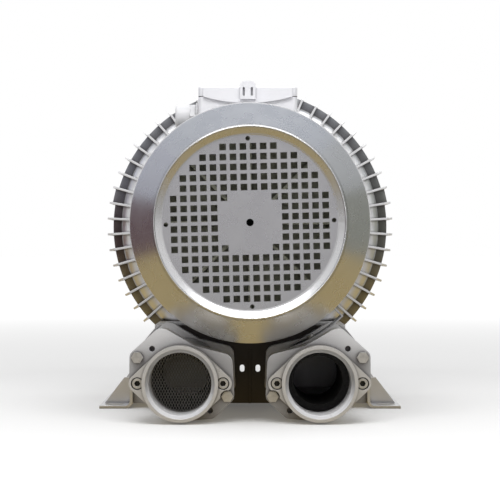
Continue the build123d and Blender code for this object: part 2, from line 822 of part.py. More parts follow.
with BuildPart() as shaft:
    fan_shoulder_y = fan_rear_y + fan_hub_past_plate
    with BuildSketch(profile_plane):
        with BuildLine():
            Polyline(
                (0, shaft_front_y),
                (fan_seat_radius - shaft_chamfer, shaft_front_y),
                (fan_seat_radius, shaft_front_y + shaft_chamfer),
                (fan_seat_radius, fan_front_y - circlip_thickness),
                (fan_seat_radius - circlip_depth, fan_front_y - circlip_thickness),
                (fan_seat_radius - circlip_depth, fan_front_y),
                (fan_seat_radius, fan_front_y),
                (fan_seat_radius, fan_shoulder_y),
                (fan_bearing_bore, fan_shoulder_y),
                (fan_bearing_bore, fan_bearing_y + fan_bearing_width),
                (front_journal_radius, fan_bearing_y + fan_bearing_width),
                (front_journal_radius, stator_front_y),
                (core_seat_radius, stator_front_y),
                (core_seat_radius, stator_rear_y),
                (rear_journal_radius, stator_rear_y),
                (rear_journal_radius, drive_bearing_y),
                (drive_bearing_bore, drive_bearing_y),
                (drive_bearing_bore, impeller_y - impeller_disc_half),
                (impeller_seat_radius, impeller_y - impeller_disc_half),
                (impeller_seat_radius, impeller_y + impeller_hub_rear),
                (thread_radius, impeller_y + impeller_hub_rear),
                (thread_radius, shaft_rear_y - shaft_chamfer),
                (thread_radius - shaft_chamfer, shaft_rear_y),
                (0, shaft_rear_y),
                close=True,
            )
        make_face()
    revolve(axis=rotor_axis)
    with BuildSketch(facing(impeller_y - impeller_disc_half)):
        with Locations((0, impeller_seat_radius)):
            Rectangle(key_width, key_height)
    extrude(amount=-(impeller_disc_half + impeller_hub_rear), mode=Mode.SUBTRACT)
    holes([facing(shaft_front_y)], shaft_centre_radius, shaft_centre_depth)
finish(shaft, "shaft")

fan_bearing = bearing("fan_bearing", fan_bearing_bore, fan_bearing_outer, fan_bearing_width, fan_bearing_y)
drive_bearing = bearing("drive_bearing", drive_bearing_bore, drive_bearing_outer, drive_bearing_width,
                        drive_bearing_y)

with BuildPart() as preload_spring:
    with BuildSketch(facing(fan_bearing_y - spring_thickness)):
        Circle(fan_bearing_outer - spring_clearance)
        Circle(spring_inner_radius, mode=Mode.SUBTRACT)
    extrude(amount=-spring_thickness)
finish(preload_spring, "preload_spring")

with BuildPart() as bearing_retainer:
    with BuildSketch(facing(hub_front_y)):
        Circle(hub_radius - retainer_inset)
        Circle(retainer_bore, mode=Mode.SUBTRACT)
    extrude(amount=retainer_thickness)
    holes([p.offset(retainer_thickness) for p in retainer_screw_planes(hub_front_y)],
          m4[0] + hole_clearance, retainer_thickness)
finish(bearing_retainer, "bearing_retainer")

with BuildPart() as retainer_screws:
    socket_screws([p.offset(retainer_thickness) for p in retainer_screw_planes(hub_front_y)], m4,
                  retainer_thickness + retainer_screw_depth - tapped_spare)
finish(retainer_screws, "retainer_screws")

with BuildPart() as shaft_seal:
    with BuildSketch(facing(seal_y)):
        Circle(seal_outer_radius)
        Circle(drive_bearing_bore + ball_gap, mode=Mode.SUBTRACT)
    extrude(amount=-seal_width)
finish(shaft_seal, "shaft_seal")

# ---------------------------------------------------------------------------
# Motor
# ---------------------------------------------------------------------------

with BuildPart() as motor_housing:
    motor_length = motor_rear_y - motor_front_y
    with BuildSketch(facing(motor_front_y)):
        Circle(motor_tube_radius)
    extrude(amount=-motor_length)
    with BuildSketch(facing(motor_rear_y)):
        Circle(motor_flange_radius)
    extrude(amount=motor_flange_thickness)
    # Cooling fins along the tube, left out under the terminal box
    fin_free_angle = degrees(asin((box_width / 2 + box_pad_inset) / motor_fin_radius))
    motor_fin_angles = [360.0 / motor_fin_count * (n + 0.5) for n in range(motor_fin_count)]
    motor_fin_angles = [a for a in motor_fin_angles if abs(a - 90.0) > fin_free_angle]
    with BuildSketch(*[radial(angle) for angle in motor_fin_angles]):
        with Locations((motor_tube_radius - 1, motor_front_y)):
            Rectangle(motor_fin_radius - motor_tube_radius + 1, motor_length, align=(Align.MIN, Align.MIN))
    extrude(amount=motor_fin_thickness / 2, both=True)
    # Pad that carries the terminal box
    with BuildSketch(Plane.XY.offset(box_bottom)):
        with Locations((box_x, box_mid_y)):
            RectangleRounded(box_width - 2 * box_pad_inset, box_length - 2 * box_pad_inset, box_corner)
    extrude(amount=-(box_bottom - axis_height))
    with BuildSketch(facing(motor_front_y)):
        Circle(motor_tube_bore)
    extrude(amount=-motor_length, mode=Mode.SUBTRACT)
    # Wires reach the terminal box through the pad
    with BuildSketch(Plane.XY.offset(box_bottom)):
        with Locations((box_x, box_mid_y)):
            Circle(wire_hole_radius)
    extrude(amount=-(box_bottom - axis_height), mode=Mode.SUBTRACT)
    # Flange screws and the room for their heads between the fins
    holes(motor_screw_planes(motor_rear_y - motor_flange_thickness), m6[1] + motor_screw_room,
          motor_flange_thickness - motor_length)
    holes(motor_screw_planes(motor_rear_y - motor_flange_thickness), m6[0] + hole_clearance,
          motor_flange_thickness)
    holes(shield_screw_planes(motor_front_y), m5[0], shield_screw_depth)
finish(motor_housing, "motor_housing")

with BuildPart() as motor_screws:
    socket_screws(motor_screw_planes(motor_rear_y - motor_flange_thickness), m6,
                  motor_flange_thickness + motor_screw_depth - tapped_spare)
finish(motor_screws, "motor_screws")

slot_middle_radius = stator_bore_radius + slot_depth / 2 + slot_opening
slot_angles = [360.0 / slot_count * n for n in range(slot_count)]

with BuildPart() as stator_core:
    with BuildSketch(facing(stator_front_y)):
        Circle(motor_tube_bore)
        Circle(stator_bore_radius, mode=Mode.SUBTRACT)
        for angle in slot_angles:
            with Locations(Location(polar(slot_middle_radius, angle), angle)):
                Rectangle(slot_depth, slot_width, mode=Mode.SUBTRACT)
    extrude(amount=-(stator_rear_y - stator_front_y))
finish(stator_core, "stator_core")

with BuildPart() as stator_winding:
    for y in (stator_front_y - winding_overhang, stator_rear_y):
        with BuildSketch(facing(y)):
            Circle(winding_outer_radius)
            Circle(winding_inner_radius, mode=Mode.SUBTRACT)
        extrude(amount=-winding_overhang)
    with BuildSketch(facing(stator_front_y)):
        for angle in slot_angles:
            with Locations(Location(polar(slot_middle_radius, angle), angle)):
                Rectangle(slot_depth, slot_width)
    extrude(amount=-(stator_rear_y - stator_front_y))
finish(stator_winding, "stator_winding")

with BuildPart() as rotor_core:
    with BuildSketch(facing(stator_front_y)):
        Circle(rotor_core_radius)
        Circle(core_seat_radius, mode=Mode.SUBTRACT)
    extrude(amount=-(stator_rear_y - stator_front_y))
finish(rotor_core, "rotor_core")

with BuildPart() as rotor_cage_rings:
    for y in (stator_front_y - cage_ring_length, stator_rear_y):
        with BuildSketch(facing(y)):
            Circle(rotor_core_radius - cage_ring_inset)
            Circle(rotor_core_radius - cage_ring_inset - cage_ring_thickness, mode=Mode.SUBTRACT)
        extrude(amount=-cage_ring_length)
finish(rotor_cage_rings, "rotor_cage_rings")

with BuildPart() as end_shield:
    shield_hub_front_y = fan_bearing_y - spring_thickness - shield_thickness
    shield_hub_rear_y = fan_bearing_y + fan_bearing_width
    with BuildSketch(profile_plane):
        with Locations((0, shield_front_y)):
            Rectangle(shield_radius, shield_thickness, align=(Align.MIN, Align.MIN))
        with Locations((winding_outer_radius - 1, shield_rear_y)):
            Rectangle(motor_tube_bore - winding_outer_radius + 1, shield_spigot, align=(Align.MIN, Align.MIN))
        with Locations((0, shield_hub_front_y)):
            Rectangle(fan_bearing_outer + hub_wall, shield_hub_rear_y - shield_hub_front_y,
                      align=(Align.MIN, Align.MIN))
    revolve(axis=rotor_axis)
    # Lugs that the cowl is screwed to
    for plane in cowl_screw_planes(cowl_radius - cowl_sheet):
        with BuildSketch(plane):
            Rectangle(shield_lug_thickness, shield_lug_width)
        extrude(amount=-(cowl_radius - cowl_sheet - shield_radius + shield_thickness))
    with BuildSketch(facing(shield_hub_front_y)):
        Circle(cowl_radius - cowl_sheet)
    extrude(amount=-(shield_rear_y + shield_spigot + fan_bearing_width - shield_hub_front_y),
            mode=Mode.INTERSECT)
    with BuildSketch(facing(shield_hub_front_y)):
        Circle(fan_bearing_bore + shaft_clearance)
    extrude(amount=-(shield_hub_rear_y - shield_hub_front_y), mode=Mode.SUBTRACT)
    with BuildSketch(facing(fan_bearing_y - spring_thickness)):
        Circle(fan_bearing_outer)
    extrude(amount=-(fan_bearing_width + spring_thickness), mode=Mode.SUBTRACT)
    holes(shield_screw_planes(shield_front_y), m5[0] + hole_clearance, shield_thickness)
    holes(cowl_screw_planes(cowl_radius - cowl_sheet), m5[0], cowl_screw_depth)
finish(end_shield, "end_shield")

with BuildPart() as end_shield_screws:
    socket_screws(shield_screw_planes(shield_front_y), m5, shield_thickness + shield_screw_depth - tapped_spare)
finish(end_shield_screws, "end_shield_screws")

# ---------------------------------------------------------------------------
# Cooling fan and its cowl
# ---------------------------------------------------------------------------

with BuildPart() as cooling_fan:
    with BuildSketch(profile_plane):
        with Locations((0, fan_front_y)):
            Rectangle(fan_hub_radius, fan_rear_y + fan_hub_past_plate - fan_front_y, align=(Align.MIN, Align.MIN))
        with Locations((0, fan_rear_y)):
            Rectangle(fan_radius, fan_plate_thickness, align=(Align.MIN, Align.MAX))
    revolve(axis=rotor_axis)
    with BuildSketch(*[radial(360.0 / fan_blade_count * n) for n in range(fan_blade_count)]):
        with BuildLine():
            Polyline(
                (fan_hub_radius - 2, fan_rear_y),
                (fan_radius, fan_rear_y),
                (fan_radius, fan_front_y + fan_blade_corner),
                (fan_radius - fan_blade_corner, fan_front_y),
                (fan_hub_radius + fan_blade_corner, fan_front_y),
                (fan_hub_radius - 2, fan_front_y + fan_blade_corner),
                close=True,
            )
        make_face()
    extrude(amount=fan_blade_thickness / 2, both=True)
    with BuildSketch(facing(fan_front_y)):
        Circle(fan_seat_radius)
    extrude(amount=-(fan_rear_y + fan_hub_past_plate - fan_front_y), mode=Mode.SUBTRACT)
finish(cooling_fan, "cooling_fan")

with BuildPart() as fan_circlip:
    with BuildSketch(facing(fan_front_y - circlip_thickness)):
        Circle(fan_seat_radius + circlip_reach)
        Circle(fan_seat_radius - circlip_depth, mode=Mode.SUBTRACT)
        with Locations((0, -fan_seat_radius)):
            Rectangle(circlip_gap, fan_seat_radius, mode=Mode.SUBTRACT)
    extrude(amount=-circlip_thickness)
finish(fan_circlip, "fan_circlip")

with BuildPart() as fan_cowl:
    plate_front = cowl_front_y + cowl_recess
    with BuildSketch(profile_plane):
        with BuildLine():
            FilletPolyline(
                (0, plate_front),
                (cowl_plate_radius, plate_front),
                (cowl_rim_radius - cowl_rim_land, cowl_front_y),
                (cowl_rim_radius, cowl_front_y),
                (cowl_radius, cowl_shoulder_y),
                (cowl_radius, cowl_rear_y),
                radius=(2.0, 1.0, 1.0, 6.0),
            )
            offset(amount=cowl_sheet, side=Side.LEFT)
        make_face()
    revolve(axis=rotor_axis)
    middle = (grille_across - 1) / 2
    grid = [(i - middle, j - middle) for i in range(grille_across) for j in range(grille_across)]
    squares = [(u * grille_pitch, v * grille_pitch) for u, v in grid
               if grille_inner_pitches < hypot(u, v) < grille_outer_pitches]
    with BuildSketch(facing(plate_front, turn=cowl_turn)):
        with Locations(*squares):
            Rectangle(grille_square, grille_square)
        Circle(cowl_centre_hole)
        with PolarLocations(cowl_small_hole_circle, 4):
            Circle(cowl_small_hole)
    extrude(amount=-2 * cowl_sheet, mode=Mode.SUBTRACT)
    holes(cowl_screw_planes(cowl_radius), m5[0] + hole_clearance, 2 * cowl_sheet)
finish(fan_cowl, "fan_cowl")

with BuildPart() as cowl_screws:
    socket_screws(cowl_screw_planes(cowl_radius), m5_low, cowl_sheet + cowl_screw_depth - tapped_spare)
finish(cowl_screws, "cowl_screws")

# ---------------------------------------------------------------------------
# Silencers and ports
# ---------------------------------------------------------------------------


def on_guide(x):
    """Height of the air guide's outer face below the rotor axis, as a negative number."""
    return -sqrt(guide_radius**2 - x**2)


def silencer_outline(side, y):
    """Rounded outline of the end plate: two hulls that share the port circle."""
    plane = facing(y, side * port_pitch / 2, port_height)
    groups = (
        ((0, 0, port_circle_radius), upper_ear, bolt_a, (port_ear_reach, 0, port_ear_radius)),
        ((0, 0, port_circle_radius), inner_corner, bolt_b, lower_ear),
    )
    with BuildSketch(plane) as outline:
        for group in groups:
            with BuildSketch(mode=Mode.PRIVATE) as lobe:
                for x, z, radius in group:
                    with Locations((side * x, z)):
                        Circle(radius)
                make_hull()
            add(lobe.sketch)
    return outline.sketch


def port_outline(side, y, ring_radius):
    plane = facing(y, side * port_pitch / 2, port_height)
    with BuildSketch(plane) as outline:
        Circle(ring_radius)
        with Locations((-port_ear_reach, 0), (port_ear_reach, 0)):
            Circle(port_ear_radius)
        make_hull()
    return outline.sketch


for side, name in ((-1, "left"), (1, "right")):
    port_x = side * port_pitch / 2
    ends = [(port_x + side * x, port_height + z) for x, z in (open_hole_upper, open_hole_lower)]

    with BuildPart() as silencer_plate:
        extrude(silencer_outline(side, plate_front_y), amount=-plate_thickness)
        holes([facing(plate_front_y, port_x, port_height)], port_spigot_radius, plate_thickness)
        holes([facing(plate_front_y, x, z) for x, z in ends], open_hole_radius, plate_thickness)
        holes(silencer_bolt_planes(plate_front_y, (side,)), m6[0] + hole_clearance, plate_thickness)
        holes(port_screw_planes(plate_front_y, (side,)), m6[0], plate_thickness)
    finish(silencer_plate, f"silencer_plate_{name}")

    with BuildPart() as silencer_housing:
        extrude(silencer_outline(side, housing_front_y), amount=-housing_flange)
        extrude(silencer_outline(side, housing_rear_y - housing_flange), amount=-housing_flange)
        with BuildSketch(facing(housing_front_y, port_x, port_height)):
            Circle(silencer_tube_radius)
        extrude(amount=-(housing_rear_y - housing_front_y))
        if side > 0:
            # Saddle that the air guide rests on
            inner_x = guide_screw_x - guide_saddle_half
            outer_x = guide_screw_x + guide_saddle_half
            seat_z = port_height + silencer_bore_radius - axis_height
            with BuildSketch(facing(guide_front_y)):
                with BuildLine():
                    Polyline((inner_x, on_guide(inner_x)), (inner_x, seat_z), (outer_x, seat_z),
                             (outer_x, on_guide(outer_x)))
                    ThreePointArc((outer_x, on_guide(outer_x)), (guide_screw_x, on_guide(guide_screw_x)),
                                  (inner_x, on_guide(inner_x)))
                make_face()
            extrude(amount=-guide_length)
            holes(guide_screw_planes(guide_radius - head_stand_off), m5[0], guide_screw_depth + head_stand_off)
        with BuildSketch(facing(housing_front_y, port_x, port_height)):
            Circle(silencer_bore_radius)
        extrude(amount=-(housing_rear_y - housing_front_y), mode=Mode.SUBTRACT)
        holes([facing(housing_front_y, port_x, port_height)], port_spigot_radius,
              plate_front_y - port_gasket_thickness + port_spigot_length - housing_front_y)
        holes(silencer_bolt_planes(housing_front_y, (side,)), m6[0] + hole_clearance,
              housing_rear_y - housing_front_y)
    finish(silencer_housing, f"silencer_housing_{name}")

    with BuildPart() as silencer_lining:
        with BuildSketch(facing(lining_front_y, port_x, port_height)):
            Circle(silencer_bore_radius)
            Circle(lining_bore_radius, mode=Mode.SUBTRACT)
        extrude(amount=-(housing_rear_y - lining_rear_gap - lining_front_y))
    finish(silencer_lining, f"silencer_lining_{name}")

    with BuildPart() as port_flange:
        ear_rear_y = plate_front_y - port_gasket_thickness
        extrude(port_outline(side, ear_rear_y - port_ear_thickness, port_ring_radius),
                amount=-port_ear_thickness)
        with BuildSketch(facing(port_front_y, port_x, port_height)):
            Circle(port_ring_radius)
        extrude(amount=-(ear_rear_y - port_front_y))
        with BuildSketch(facing(ear_rear_y, port_x, port_height)):
            Circle(port_spigot_radius)
        extrude(amount=-port_spigot_length)
        holes([facing(port_front_y, port_x, port_height)], port_bore_radius,
              ear_rear_y + port_spigot_length - port_front_y)
        mouth = port_flange.edges().filter_by(GeomType.CIRCLE).group_by(Axis.Y)[0].sort_by(SortBy.RADIUS)[0]
        chamfer(mouth, length=port_mouth_radius - port_bore_radius)
        screw_faces = port_screw_planes(ear_rear_y - port_ear_thickness, (side,))
        holes(screw_faces, m6[1] + counterbore_clearance, m6[2] + head_recess)
        holes(screw_faces, m6[0] + hole_clearance, port_ear_thickness)
        holes(silencer_bolt_planes(port_front_y, (side,)), bolt_head_room, plate_front_y - port_front_y)
    finish(port_flange, f"port_flange_{name}")

with BuildPart() as silencer_gaskets:
    for side in (-1, 1):
        extrude(silencer_outline(side, housing_rear_y), amount=-silencer_gasket_thickness)
    holes([facing(housing_rear_y, side * port_pitch / 2, port_height) for side in (-1, 1)],
          silencer_bore_radius, silencer_gasket_thickness)
    holes(silencer_bolt_planes(housing_rear_y), m6[0] + hole_clearance, silencer_gasket_thickness)
finish(silencer_gaskets, "silencer_gaskets")

with BuildPart() as port_gaskets:
    for side in (-1, 1):
        extrude(port_outline(side, plate_front_y - port_gasket_thickness, port_ring_radius),
                amount=-port_gasket_thickness)
    gasket_front_y = plate_front_y - port_gasket_thickness
    holes([facing(gasket_front_y, side * port_pitch / 2, port_height) for side in (-1, 1)],
          port_spigot_radius, port_gasket_thickness)
    holes(port_screw_planes(gasket_front_y), m6[0] + hole_clearance, port_gasket_thickness)
    holes(silencer_bolt_planes(gasket_front_y), bolt_head_room, port_gasket_thickness)
finish(port_gaskets, "port_gaskets")

with BuildPart() as port_screws:
    counterbore_floor_y = plate_front_y - port_gasket_thickness - port_ear_thickness + m6[2] + head_recess
    socket_screws(port_screw_planes(counterbore_floor_y), m6, plate_rear_y - tapped_spare - counterbore_floor_y)
finish(port_screws, "port_screws")

with BuildPart() as silencer_bolts:
    hexagon_bolts(silencer_bolt_planes(plate_front_y), m6[0], block_front_y + bolt_reach - plate_front_y)
finish(silencer_bolts, "silencer_bolts")

with BuildPart() as inlet_guard:
    guard_across = int(2 * lining_bore_radius / guard_pitch)
    guard_middle = (guard_across - 1) / 2
    guard_grid = [((i - guard_middle) * guard_pitch, (j - guard_middle) * guard_pitch)
                  for i in range(guard_across) for j in range(guard_across)]
    guard_hole = guard_pitch - guard_bar
    with BuildSketch(facing(guard_front_y, -port_pitch / 2, port_height, turn=45)):
        Circle(silencer_bore_radius)
        with Locations(*[(u, v) for u, v in guard_grid if hypot(u, v) + guard_hole * 0.71 < port_bore_radius - 1]):
            Rectangle(guard_hole, guard_hole, mode=Mode.SUBTRACT)
    extrude(amount=-guard_thickness)
finish(inlet_guard, "inlet_guard")

# ---------------------------------------------------------------------------
# Air guide behind the cowl
# ---------------------------------------------------------------------------

with BuildPart() as air_guide:
    guide_span = guide_last_angle - guide_first_angle
    with BuildSketch(radial(guide_first_angle)):
        with Locations((guide_radius, guide_front_y)):
            Rectangle(guide_sheet, guide_length, align=(Align.MAX, Align.MIN))
    revolve(axis=rotor_axis, revolution_arc=-guide_span)
    # Short wall across its upper end
    with BuildSketch(radial(guide_last_angle)):
        with Locations((guide_inner_radius, guide_front_y)):
            Rectangle(guide_radius - guide_inner_radius, guide_length, align=(Align.MIN, Align.MIN))
    extrude(amount=-guide_sheet)
    holes(guide_screw_planes(guide_radius - guide_sheet - head_stand_off), m5[0] + hole_clearance,
          guide_sheet + head_stand_off)
finish(air_guide, "air_guide")

with BuildPart() as air_guide_screw:
    socket_screws(guide_screw_planes(guide_radius - guide_sheet - head_stand_off), m5_low,
                  guide_sheet + guide_screw_depth - tapped_spare)
finish(air_guide_screw, "air_guide_screw")

# ---------------------------------------------------------------------------
# Feet
# ---------------------------------------------------------------------------

for side, name in ((-1, "left"), (1, "right")):
    with BuildPart() as foot_bracket:
        with BuildSketch(facing(-foot_half_length, z=0)):
            with BuildLine():
                FilletPolyline(
                    (block_half, foot_wall_top),
                    (block_half, 0),
                    (foot_reach, 0),
                    radius=foot_bend,
                )
                offset(amount=foot_sheet, side=Side.LEFT)
            make_face()
        extrude(amount=-2 * foot_half_length)
        # Gussets, rooted in the middle of the sheet
        in_bend = foot_bend - (foot_bend - foot_sheet / 2) * cos(radians(45))
        for y in (-gusset_y, gusset_y):
            with BuildSketch(facing(y - foot_sheet / 2, z=0)):
                with BuildLine():
                    Polyline(
                        (block_half + in_bend, in_bend),
                        (block_half + foot_bend, foot_sheet / 2),
                        (foot_reach - foot_sheet, foot_sheet / 2),
                        (foot_reach - foot_sheet, foot_sheet),
                        (block_half + foot_sheet + gusset_top_width, gusset_top_z),
                        (block_half + foot_sheet / 2, gusset_top_z),
                        (block_half + foot_sheet / 2, foot_bend),
                        close=True,
                    )
                make_face()
            extrude(amount=-foot_sheet)
        with BuildSketch(Plane.XY.offset(foot_sheet)):
            with Locations((slot_pitch_x / 2, -slot_pitch_y / 2), (slot_pitch_x / 2, slot_pitch_y / 2)):
                SlotOverall(slot_length, foot_slot_width)
        extrude(amount=-foot_sheet, mode=Mode.SUBTRACT)
        if side < 0:
            mirror(about=Plane.YZ, mode=Mode.REPLACE)
        holes([p for p in foot_screw_planes(block_half + foot_sheet) if p.origin.X * side > 0],
              m6[0] + hole_clearance, foot_sheet)
    finish(foot_bracket, f"foot_bracket_{name}")

with BuildPart() as foot_screws:
    socket_screws(foot_screw_planes(block_half + foot_sheet), m6, foot_sheet + duct_wall - tapped_spare)
finish(foot_screws, "foot_screws")

# ---------------------------------------------------------------------------
# Terminal box
# ---------------------------------------------------------------------------


def box_outline(z, inset=0.0):
    with BuildSketch(Plane.XY.offset(z)) as outline:
        with Locations((box_x, box_mid_y)):
            RectangleRounded(box_width - 2 * inset, box_length - 2 * inset, box_corner - inset)
    return outline.sketch


gland_plane = Plane(origin=(box_left_x, gland_y, gland_z), x_dir=(0, -1, 0), z_dir=(-1, 0, 0))
lid_bottom = box_seam + box_gasket

with BuildPart() as terminal_box:
    extrude(box_outline(box_bottom), amount=box_seam - box_bottom)
    extrude(box_outline(box_bottom + box_wall, box_wall), amount=box_seam - box_bottom - box_wall,
            mode=Mode.SUBTRACT)
    # Corner pillars for the lid screws
    with BuildSketch(*lid_screw_planes(box_bottom)) as pillars:
        Circle(box_pillar_radius)
    extrude(pillars.sketch, amount=box_seam - box_bottom)
    extrude(box_outline(box_bottom), amount=box_seam - box_bottom, mode=Mode.INTERSECT)
    holes(lid_screw_planes(box_seam), m5[0], box_seam - box_bottom - box_wall)
    holes([Plane(origin=(box_x, box_mid_y, box_bottom + box_wall))], wire_hole_radius, box_wall)
    holes([gland_plane], gland_thread_radius, box_wall)
finish(terminal_box, "terminal_box")

with BuildPart() as terminal_box_gasket:
    extrude(box_outline(box_seam), amount=box_gasket)
    extrude(box_outline(box_seam, box_wall), amount=box_gasket, mode=Mode.SUBTRACT)
finish(terminal_box_gasket, "terminal_box_gasket")

with BuildPart() as terminal_box_lid:
    extrude(box_outline(lid_bottom), amount=box_top - lid_bottom)
    top_edges = terminal_box_lid.faces().sort_by(Axis.Z)[-1].edges()
    fillet(top_edges, radius=lid_edge_radius)
    # Apron over the front of the box; its lower edge sags towards the middle
    apron_half = box_width / 2 - box_corner
    with BuildSketch(facing(box_front_y, box_x, 0)):
        with BuildLine():
            Polyline((-apron_half, box_seam), (-apron_half, box_top - lid_edge_radius),
                     (apron_half, box_top - lid_edge_radius), (apron_half, box_seam))
            ThreePointArc((apron_half, box_seam), (0, box_seam - apron_sag), (-apron_half, box_seam))
        make_face()
    extrude(amount=apron_thickness)
    # Lug at the middle of the front edge, with two upright slots
    lug_front_y = box_front_y - apron_thickness
    with BuildSketch(facing(lug_front_y, box_x, 0)):
        with Locations((0, lug_bottom)):
            Rectangle(lug_width, lug_top - lug_bottom - lug_width / 2, align=(Align.CENTER, Align.MIN))
        with Locations((0, lug_top - lug_width / 2)):
            RectangleRounded(lug_width, lug_width, lug_corner)
        with Locations((-lug_slot_pitch / 2, lug_slot_z), (lug_slot_pitch / 2, lug_slot_z)):
            SlotOverall(lug_slot_height, lug_slot_width, rotation=90, mode=Mode.SUBTRACT)
    extrude(amount=lug_thickness)
    # Counterbored screw holes
    holes(lid_screw_planes(box_top), m5[1] + counterbore_clearance, m5[2] + head_recess)
    holes(lid_screw_planes(box_top), m5[0] + hole_clearance, box_top - lid_bottom)
finish(terminal_box_lid, "terminal_box_lid")

with BuildPart() as lid_screws:
    socket_screws(lid_screw_planes(box_top - m5[2] - head_recess), m5, lid_screw_length)
finish(lid_screws, "lid_screws")

with BuildPart() as terminal_board:
    with BuildSketch(Plane.XY.offset(box_bottom + box_wall)):
        with Locations((box_x, box_mid_y + wire_hole_radius + board_width / 2 + board_gap)):
            Rectangle(board_length, board_width)
    extrude(amount=board_height)
    with BuildSketch(Plane.XY.offset(box_bottom + box_wall + board_height)):
        with Locations((box_x, box_mid_y + wire_hole_radius + board_width / 2 + board_gap)):
            with GridLocations(board_length / 3, board_width / 2, 3, 2):
                Circle(m4[0])
    extrude(amount=board_height / 2)
finish(terminal_board, "terminal_board")

with BuildPart() as cable_gland:
    with BuildSketch(gland_plane):
        Circle(gland_flange_radius)
    extrude(amount=gland_flange_thickness)
    with BuildSketch(gland_plane.offset(gland_flange_thickness)):
        RegularPolygon(gland_hex / 2, 6, major_radius=False)
    extrude(amount=gland_hex_length)
    with BuildSketch(gland_plane.offset(-box_wall - gland_locknut_thickness)):
        Circle(gland_thread_radius)
    extrude(amount=box_wall + gland_locknut_thickness + gland_flange_thickness + gland_hex_length
            + gland_thread_length)
    holes([gland_plane.offset(gland_length)], gland_bore_radius, 2 * gland_length)
finish(cable_gland, "cable_gland")

with BuildPart() as gland_nut:
    nut_start = gland_flange_thickness + gland_hex_length
    with BuildSketch(gland_plane.offset(nut_start)):
        Circle(gland_nut_radius)
    extrude(amount=gland_length - nut_start)
    fillet(gland_nut.faces().sort_by(Axis.X)[0].edges(), radius=gland_nut_round)
    holes([gland_plane.offset(gland_length)], gland_bore_radius, gland_length)
    holes([gland_plane.offset(nut_start + gland_thread_length)], gland_thread_radius, gland_thread_length)
finish(gland_nut, "gland_nut")

with BuildPart() as gland_locknut:
    with BuildSketch(gland_plane.offset(-box_wall)):
        RegularPolygon(gland_hex / 2, 6, major_radius=False)
        Circle(gland_thread_radius, mode=Mode.SUBTRACT)
    extrude(amount=-gland_locknut_thickness)
finish(gland_locknut, "gland_locknut")
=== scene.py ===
import json
import math

import bmesh
import bpy
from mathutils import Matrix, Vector


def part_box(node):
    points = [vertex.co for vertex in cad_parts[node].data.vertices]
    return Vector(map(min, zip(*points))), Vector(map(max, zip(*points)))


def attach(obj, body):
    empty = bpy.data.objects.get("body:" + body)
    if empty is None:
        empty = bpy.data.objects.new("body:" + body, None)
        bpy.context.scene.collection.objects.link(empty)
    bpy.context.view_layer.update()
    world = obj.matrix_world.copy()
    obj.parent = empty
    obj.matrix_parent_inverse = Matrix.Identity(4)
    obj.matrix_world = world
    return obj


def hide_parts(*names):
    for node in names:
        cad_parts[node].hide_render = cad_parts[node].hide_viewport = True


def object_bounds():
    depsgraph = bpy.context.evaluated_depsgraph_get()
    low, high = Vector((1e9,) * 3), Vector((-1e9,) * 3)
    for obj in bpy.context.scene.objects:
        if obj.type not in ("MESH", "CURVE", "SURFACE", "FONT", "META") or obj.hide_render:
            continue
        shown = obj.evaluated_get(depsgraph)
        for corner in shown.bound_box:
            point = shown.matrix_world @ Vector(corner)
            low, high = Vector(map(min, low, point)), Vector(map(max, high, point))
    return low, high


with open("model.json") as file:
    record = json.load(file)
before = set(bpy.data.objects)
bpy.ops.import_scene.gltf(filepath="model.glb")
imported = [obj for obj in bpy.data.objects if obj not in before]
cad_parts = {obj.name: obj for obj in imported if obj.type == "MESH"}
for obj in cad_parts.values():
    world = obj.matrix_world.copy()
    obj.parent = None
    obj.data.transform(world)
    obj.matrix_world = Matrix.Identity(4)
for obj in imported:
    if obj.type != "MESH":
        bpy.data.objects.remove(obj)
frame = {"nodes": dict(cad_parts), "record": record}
cad_low, cad_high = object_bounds()

# Side channel blower, in metres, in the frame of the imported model.
# +X is to the right seen from the fan end, +Y runs from the fan end to the impeller end, +Z is up.

# ---------------------------------------------------------------------------
# Named sizes
# ---------------------------------------------------------------------------

# Camera, floor and light
IMAGE_SIZE = 500                # pixels, square
FOCAL_PIXELS = 1417.0
SENSOR = 36.0                   # mm
CAMERA_BEFORE_COWL = 1.318      # camera to the cowl's front rim
CAMERA_X = 0.0
CAMERA_Z = 0.1642
CAMERA_REACH = 100.0            # as far as it sees
WHITE = (1.0, 1.0, 1.0)
AMBIENT = 0.42                  # what the white world gives to diffuse surfaces
FLOOR_HALF_SIDE = 30.0
FLOOR_COLOUR = (0.88, 0.88, 0.88)
FLOOR_FILL_NEAR = 0.10          # camera-only glow of the floor, near the object and far away
FLOOR_FILL_FAR = 0.66
FLOOR_FILL_RANGE = (0.45, 2.2)  # distances from the origin where near ends and far begins
CARD_LIFT = 0.0004              # height of the cards that lie on the floor

# Textures in general
NOISE_LOW = 0.3                 # most of a noise texture's values lie between these
NOISE_HIGH = 0.7
CREVICE_SAMPLES = 8
EDGE_SAMPLES = 4

# Paint of the castings
AXIS_HEIGHT = 0.19              # the rotor's axis above the floor
# dust tone for cloudy patches, and painted shade in corners
DIRT_AND_SHADE = (0.055, 0.045, 0.040)
# painted shade: near-black where the duct block's front wall lies in deep shadow
PAINTED_SHADE_BLACK = (0.030, 0.024, 0.020)
SHADE_WALL_Y = -0.0557              # the duct block's front wall, painted black as the shade that falls there
SHADE_WALL_HALF_DEPTH = 0.0198
SHADE_WALL_FADE_X = (0.070, 0.095)  # distances from the middle over which the painted black shade fades out
RING_ABOVE = (0.055, 0.085)     # heights between the duct block's darker paint, painted shade low down, and the ring's
PAINTED_SHADE_UNDER_COVER = (0.13, 0.12, 0.12)  # painted shade on flat faces under cover, such as those behind the motor
SHADE_COVER_REACH = 0.030           # cover within this distance counts
SHADE_COVER_RANGE = (0.20, 0.80)    # from covered to open
FACING_FLAT = (-0.97, -0.93)    # limits of the normal's y on flat faces that look at the fan end
FACING_CURVED = (-0.5, -0.3)    # and with the curved faces between the fins
RIM_FACE_Y = 0.027              # the rim's face, and how far from it still counts
RIM_FACE_SPAN = 0.003
RIM_FACE_IN = 0.138             # radius where the channel's outside meets the rim
